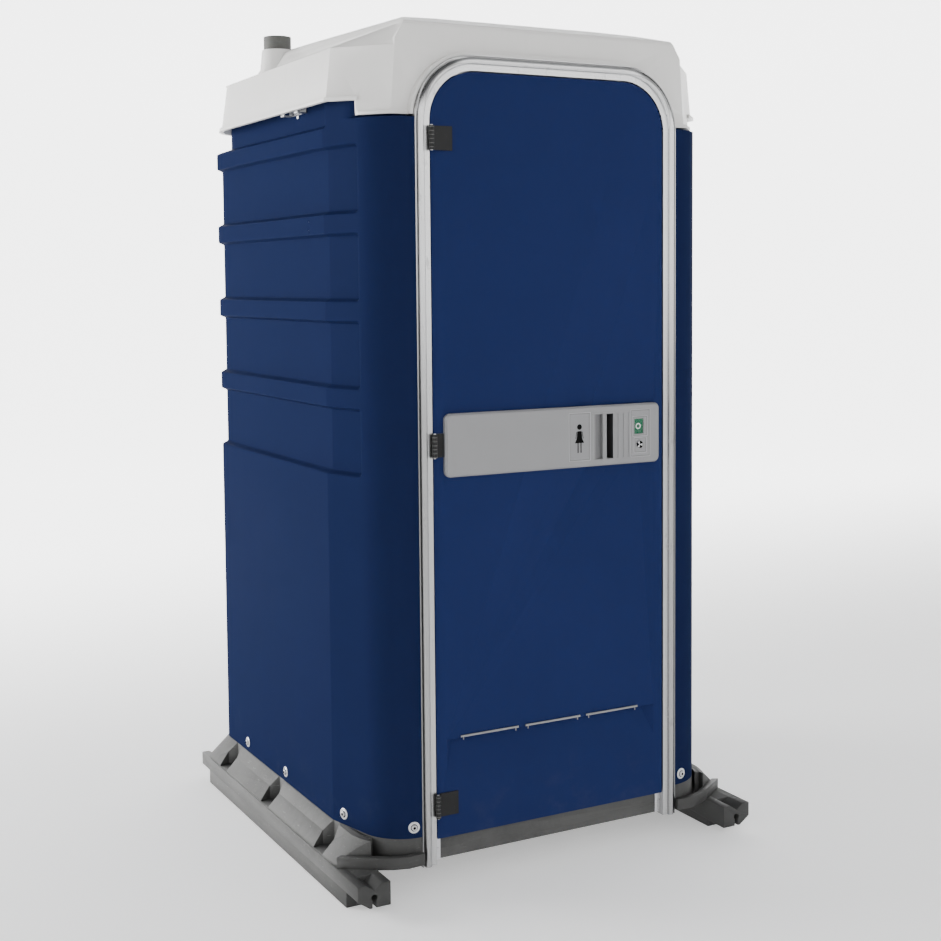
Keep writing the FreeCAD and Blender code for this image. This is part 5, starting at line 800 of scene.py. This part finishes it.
class CabinSizes(bpy.types.PropertyGroup):
    """Sizes that a user may change."""
    roof_edge: bpy.props.FloatProperty(name="Roof edges", description="Rounding of the roof's edges",
                                       default=0.009, unit="LENGTH")
    base_edge: bpy.props.FloatProperty(name="Base edges",
                                       description="Rounding of the base's and skids' edges",
                                       default=0.004, unit="LENGTH")
    door_edge: bpy.props.FloatProperty(name="Door edges", description="Rounding of the door's edges",
                                       default=0.003, unit="LENGTH")
    figure_height: bpy.props.FloatProperty(name="Figure height", description="Height of the restroom figure",
                                           default=FIGURE_HEIGHT, unit="LENGTH")
    ring_radius: bpy.props.FloatProperty(name="Flag ring", description="Outer radius of the ring on the flag",
                                         default=0.0080, unit="LENGTH")


class CabinColours(bpy.types.PropertyGroup):
    """Colours that a user may change."""
    wall: bpy.props.FloatVectorProperty(name="Walls", description="Colour of the wall panels",
                                        subtype="COLOR", size=3, min=0, max=1,
                                        default=(0.0080, 0.0135, 0.0450))
    # The door's navy is the walls' navy made lighter as painted light, since the door faces away from the key
    # light.
    door: bpy.props.FloatVectorProperty(name="Door", description="Colour of the door", subtype="COLOR",
                                        size=3, min=0, max=1, default=(0.0135, 0.0220, 0.0780))
    roof: bpy.props.FloatVectorProperty(name="Roof", description="Colour of the roof", subtype="COLOR",
                                        size=3, min=0, max=1, default=(0.72, 0.71, 0.69))
    base: bpy.props.FloatVectorProperty(name="Base", description="Colour of base and skids", subtype="COLOR",
                                        size=3, min=0, max=1, default=(0.095, 0.095, 0.092))
    plate: bpy.props.FloatVectorProperty(name="Latch plate", description="Colour of the latch plate",
                                         subtype="COLOR", size=3, min=0, max=1, default=(0.235, 0.235, 0.24))
    flag_free: bpy.props.FloatVectorProperty(name="Free",
                                             description="Colour of the flag when the door is free",
                                             subtype="COLOR", size=3, min=0, max=1,
                                             default=(0.0005, 0.125, 0.052))
    flag_taken: bpy.props.FloatVectorProperty(name="Taken",
                                              description="Colour of the flag when the door is locked",
                                              subtype="COLOR", size=3, min=0, max=1,
                                              default=(0.45, 0.01, 0.01))


def sizes():
    """The user's sizes."""
    return bpy.context.scene.cabin_sizes


def colours():
    """The user's colours."""
    return bpy.context.scene.cabin_colours


finishes = {}


def finish(name):
    """A finish by name, made when it is first asked for."""
    if name in finishes:
        return finishes[name]
    c = colours()
    makers = {
        "blue_moulding": lambda: moulded_blue("blue_moulding", c.wall),
        "door_moulding": lambda: moulded_blue("door_moulding", c.door),
        "inner_skin": lambda: grey_plate("inner_skin", (0.36, 0.37, 0.38)),
        "roof_moulding": lambda: moulded_white("roof_moulding", c.roof),
        "base_moulding": lambda: moulded_grey("base_moulding", c.base, 1.0, (-0.34, -0.60)),
        "sill_plastic": lambda: moulded_grey("sill_plastic", shade(c.base, 0.6), 0.3),
        "frame_aluminium": lambda: drawn_aluminium("frame_aluminium", (0.66, 0.66, 0.66)),
        "latch_grey": lambda: grey_plate("latch_grey", c.plate, PLATE_FRAMES, PLATE_HOLLOWS),
        "hinge_black": lambda: worn_black("hinge_black", (0.010, 0.010, 0.010)),
        "bright_steel": lambda: plain_steel("bright_steel", (0.62, 0.62, 0.63)),
        "strip_steel": lambda: plain_steel("strip_steel", (0.26, 0.26, 0.26), 0.4),
        "pipe_grey": lambda: moulded_grey("pipe_grey", (0.095, 0.095, 0.088), 0.2),
        "tank_black": lambda: smooth_black("tank_black", (0.012, 0.012, 0.012), 0.4),
        "seat_black": lambda: smooth_black("seat_black", (0.010, 0.010, 0.010), 0.2),
        "soft_rubber": lambda: soft_rubber("soft_rubber", (0.02, 0.02, 0.02)),
        "clear_window": lambda: clear_window("clear_window"),
        "flag_green": lambda: two_colour_flag("flag_green", c.flag_free, c.flag_taken),
        "nylon": lambda: grey_plate("nylon", (0.52, 0.50, 0.45)),
        "roll_paper": lambda: soft_paper("roll_paper", (0.86, 0.86, 0.84)),
        "black_ink": lambda: plain_ink("black_ink", (0.003, 0.003, 0.003)),
        "white_ink": lambda: plain_ink("white_ink", (0.80, 0.80, 0.80)),
    }
    finishes[name] = makers[name]()
    return finishes[name]


# Operators

class CABIN_OT_finishes(bpy.types.Operator):
    """Give every carried-over CAD node its finish"""
    bl_idname = "cabin.finishes"
    bl_label = "Finishes"

    def execute(self, context):
        for part in frame["record"]["subparts"]:
            dress(nodes[part["node"]], finish(part["material_slot"]))
        return {"FINISHED"}


class CABIN_OT_walls(bpy.types.Operator):
    """Build the three wall panels with their soft ribs and recesses"""
    bl_idname = "cabin.walls"
    bl_label = "Walls"

    def execute(self, context):
        for name, side in (("wall_left", -1), ("wall_right", 1)):
            piece = new_piece(name + "_panel", wall_mesh(side, SEAM_X), finish("blue_moulding"), "cabin",
                              40)
            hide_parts(name)
        stops = [-x for x in reversed(SEAM_STOPS)] + list(SEAM_STOPS)
        across = [("across", x) for x in stops]
        piece = new_piece("wall_rear_panel", wall_mesh(1, 0.0, across), finish("blue_moulding"), "cabin",
                          40)
        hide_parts("wall_rear")
        return {"FINISHED"}


class CABIN_OT_mouldings(bpy.types.Operator):
    """Round the edges of the moulded pieces"""
    bl_idname = "cabin.mouldings"
    bl_label = "Mouldings"

    def execute(self, context):
        s = sizes()
        rows = [
            ("roof", "roof_shell", s.roof_edge, 4, "roof_moulding"),
            ("base", "base_pan", s.base_edge, 3, "base_moulding"),
            ("skid_left_body", "skid_left", s.base_edge, 3, "base_moulding"),
            ("skid_right_body", "skid_right", s.base_edge, 3, "base_moulding"),
            ("sill", "door_sill", 0.001, 2, "sill_plastic"),
            ("door_skin", "door_panel", s.door_edge, 3, "door_moulding"),
        ]
        for name, source, width, segments, slot in rows:
            softened(name, source, width, segments, finish(slot))
        return {"FINISHED"}


class CABIN_OT_fasteners(bpy.types.Operator):
    """Washers, bolts and rivets with their real heads"""
    bl_idname = "cabin.fasteners"
    bl_label = "Fasteners"

    def execute(self, context):
        spots = []
        for side in (-1, 1):
            for x, y, turn in WALL_BOLT_SPOTS:
                facing = Vector((side * math.cos(math.radians(turn)), math.sin(math.radians(turn)), 0))
                spots.append((Vector((side * x, y, WALL_BOLT_HEIGHT)), facing))
        # profiles of radius and height over the face, in millimetres
        washer = [(4.1, 0.0), (15.0, 0.0), (15.0, 0.9), (14.5, 1.5), (13.6, 1.8), (11.6, 1.6), (10.2, 1.4),
                  (9.6, 1.9), (8.9, 2.0), (8.3, 1.8), (4.6, 1.8), (4.1, 1.5)]
        bolt = [(0.0, -20.0), (3.9, -20.0), (3.9, 2.0), (6.6, 2.0), (7.0, 2.4), (7.0, 4.8), (6.5, 5.6),
                (5.6, 6.0), (3.6, 6.0), (3.4, 5.7), (3.2, 3.4), (0.0, 3.0)]
        self.turn_out("washers", washer, spots, "wall_washers", True)
        self.turn_out("bolts", bolt, spots, "wall_bolts", False)
        # Painted shade: a black star over each bolt's socket and a black ring at the foot of its head.
        tip, root = 4.4 * MM, 3.2 * MM
        outline = []
        for i in range(12):
            radius = root if i % 2 else tip
            outline.append((radius * math.cos(math.pi * i / 6), radius * math.sin(math.pi * i / 6)))
        star = tipped(slab(outline, INK, Vector((0, 0, 0))), Vector((0, 0, 0.0063)))
        groove = flat_ring(0.0072, 0.0092, 0.00195, 0.00205, 40)
        repeated("bolt_shadows", joined([star, groove], "shadow"), spots, finish("black_ink"), "cabin")
        rivet = [(0.0, -8.0), (2.2, -8.0), (2.2, 0.0), (4.0, 0.0), (4.0, 0.35), (3.6, 0.85), (2.8, 1.25),
                 (1.7, 1.45), (1.3, 1.4), (1.15, 0.7), (0.0, 0.6)]
        spots = [(centre + Y * (half.y - RIVET_HEAD), Y) for centre, half in islands("wall_seam_rivets")]
        self.turn_out("seam_rivets", rivet, spots, "wall_seam_rivets", False)
        spots = [(centre + X * math.copysign(half.x - RIVET_HEAD, centre.x), X * math.copysign(1, centre.x))
                 for centre, half in islands("roof_clip_rivets")]
        self.turn_out("clip_rivets", rivet, spots, "roof_clip_rivets", False)
        return {"FINISHED"}

    def turn_out(self, name, profile, spots, source, ring_shaped):
        """Turns a profile in millimetres and repeats it in place of a node."""
        template = turned([(radius * MM, height * MM) for radius, height in profile], 40, ring_shaped)
        repeated(name, template, spots, finish("bright_steel"), body_of_node(source), source)


class CABIN_OT_marks(bpy.types.Operator):
    """The restroom figure, the ring on the flag and the emergency slot's star"""
    bl_idname = "cabin.marks"
    bl_label = "Marks"

    def execute(self, context):
        k = sizes().figure_height / FIGURE_HEIGHT
        # outlines across and upwards from the figure's middle, in millimetres
        turns = [2 * math.pi * i / 40 for i in range(40)]
        head = [(7.2 * math.cos(a), 29.5 + 7.2 * math.sin(a)) for a in turns]
        gown = [(-5.0, 18.5), (-6.2, 17.6), (-6.6, 16.0), (-8.6, -1.5), (-14.2, -13.0), (14.2, -13.0),
                (8.6, -1.5), (6.6, 16.0), (6.2, 17.6), (5.0, 18.5)]
        arms = [[(side * x, z) for x, z in ((7.4, 17.5), (9.3, 16.2), (12.4, -1.0), (10.7, -1.6))]
                for side in (-1, 1)]
        legs = [[(side * 4.6 + x, z) for x, z in ((-1.5, -13.0), (1.5, -13.0), (1.5, -39.0), (-1.5, -39.0))]
                for side in (-1, 1)]
        parts = []
        for outline in [head, gown] + arms + legs:
            points = [(x * k * MM, z * k * MM) for x, z in outline]
            parts.append(slab(points, INK, FIGURE_SPOT))
        new_piece("figure", joined(parts, "figure"), finish("black_ink"), "door")
        outer = sizes().ring_radius
        ring = tipped(flat_ring(outer * 0.66, outer, 0.0, 0.00025), FLAG_RING_SPOT)
        new_piece("flag_ring", ring, finish("white_ink"), "bolt_slide")
        star = []
        outer, inner = 8.8 * MM, 1.8 * MM
        for i in range(3):
            turns = [math.radians(120 * i + 20 + 72 * t / 8) for t in range(9)]
            star.append([(outer * math.cos(a), outer * math.sin(a)) for a in turns]
                        + [(inner * math.cos(a), inner * math.sin(a)) for a in reversed(turns)])
        rim = tipped(flat_ring(0.0088, 0.0106, 0.0, THIN_INK), COIN_SPOT)
        face = [slab(points, THIN_INK, COIN_SPOT - Y * THIN_INK) for points in star]
        new_piece("coin_star", joined(face + [rim], "coin_star"), finish("black_ink"), "lock_knob")
        return {"FINISHED"}


class CABIN_OT_stage(bpy.types.Operator):
    """Floor, soft light and the camera"""
    bl_idname = "cabin.stage"
    bl_label = "Stage"

    def execute(self, context):
        scene = context.scene
        turns = [math.pi / 2 * i / 12 for i in range(13)]
        flat = [(FLOOR_FLAT * i / 16, 0.0) for i in range(16)]
        bend = [(FLOOR_FLAT + FLOOR_BEND * math.sin(a), FLOOR_BEND - FLOOR_BEND * math.cos(a)) for a in turns]
        mesh = turned(flat + bend + [(FLOOR_FLAT + FLOOR_BEND, FLOOR_TOP)], 96)
        floor = bpy.data.objects.new("floor", mesh)
        scene.collection.objects.link(floor)
        dress(floor, stage_floor("floor_pale", (0.90, 0.90, 0.90)), 60)
        world = bpy.data.worlds.new("studio")
        world.use_nodes = True
        sky = world.node_tree.nodes["Background"].inputs
        sky["Color"].default_value = (0.95, 0.97, 1.0, 1.0)
        sky["Strength"].default_value = SKY_STRENGTH
        scene.world = world
        light = bpy.data.lights.new("key_left", "AREA")
        light.energy = KEY_POWER
        light.size = KEY_SIZE
        lamp = bpy.data.objects.new("key_left", light)
        lamp.location = KEY_SPOT
        lamp.rotation_euler = (KEY_AIM - KEY_SPOT).to_track_quat("-Z", "Y").to_euler()
        scene.collection.objects.link(lamp)
        data = bpy.data.cameras.new("camera")
        camera = bpy.data.objects.new("camera", data)
        scene.collection.objects.link(camera)
        data.sensor_width = 36.0
        data.lens = data.sensor_width * PHOTO_FOCUS / PHOTO_WIDTH
        data.shift_y = CAMERA_SHIFT
        data.dof.use_dof = False
        heading, pitch, roll = (math.radians(a) for a in CAMERA_TURNS)
        camera.matrix_world = (Matrix.Translation(CAMERA_SPOT)
                               @ Matrix.Rotation(heading, 4, "Z")
                               @ Matrix.Rotation(math.pi / 2 + pitch, 4, "X")
                               @ Matrix.Rotation(roll, 4, "Z"))
        scene.camera = camera
        return {"FINISHED"}


class CABIN_PT_panel(bpy.types.Panel):
    """Sidebar panel with the cabin's steps and its sizes and colours"""
    bl_label = "Cabin"
    bl_idname = "CABIN_PT_panel"
    bl_space_type = "VIEW_3D"
    bl_region_type = "UI"
    bl_category = "Cabin"

    def draw(self, context):
        for operator in OPERATORS:
            self.layout.operator(operator.bl_idname)
        for group in (context.scene.cabin_sizes, context.scene.cabin_colours):
            for name in group.__annotations__:
                self.layout.prop(group, name)


OPERATORS = (CABIN_OT_finishes, CABIN_OT_walls, CABIN_OT_mouldings, CABIN_OT_fasteners, CABIN_OT_marks,
             CABIN_OT_stage)
CLASSES = (CabinSizes, CabinColours) + OPERATORS + (CABIN_PT_panel,)


def register():
    for item in CLASSES:
        bpy.utils.register_class(item)
    bpy.types.Scene.cabin_sizes = bpy.props.PointerProperty(type=CabinSizes)
    bpy.types.Scene.cabin_colours = bpy.props.PointerProperty(type=CabinColours)


def unregister():
    del bpy.types.Scene.cabin_colours
    del bpy.types.Scene.cabin_sizes
    for item in reversed(CLASSES):
        bpy.utils.unregister_class(item)


def main():
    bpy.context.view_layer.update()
    register()
    for operator in OPERATORS:
        family, name = operator.bl_idname.split(".")
        getattr(getattr(bpy.ops, family), name)()


if __name__ == "__main__":
    main()
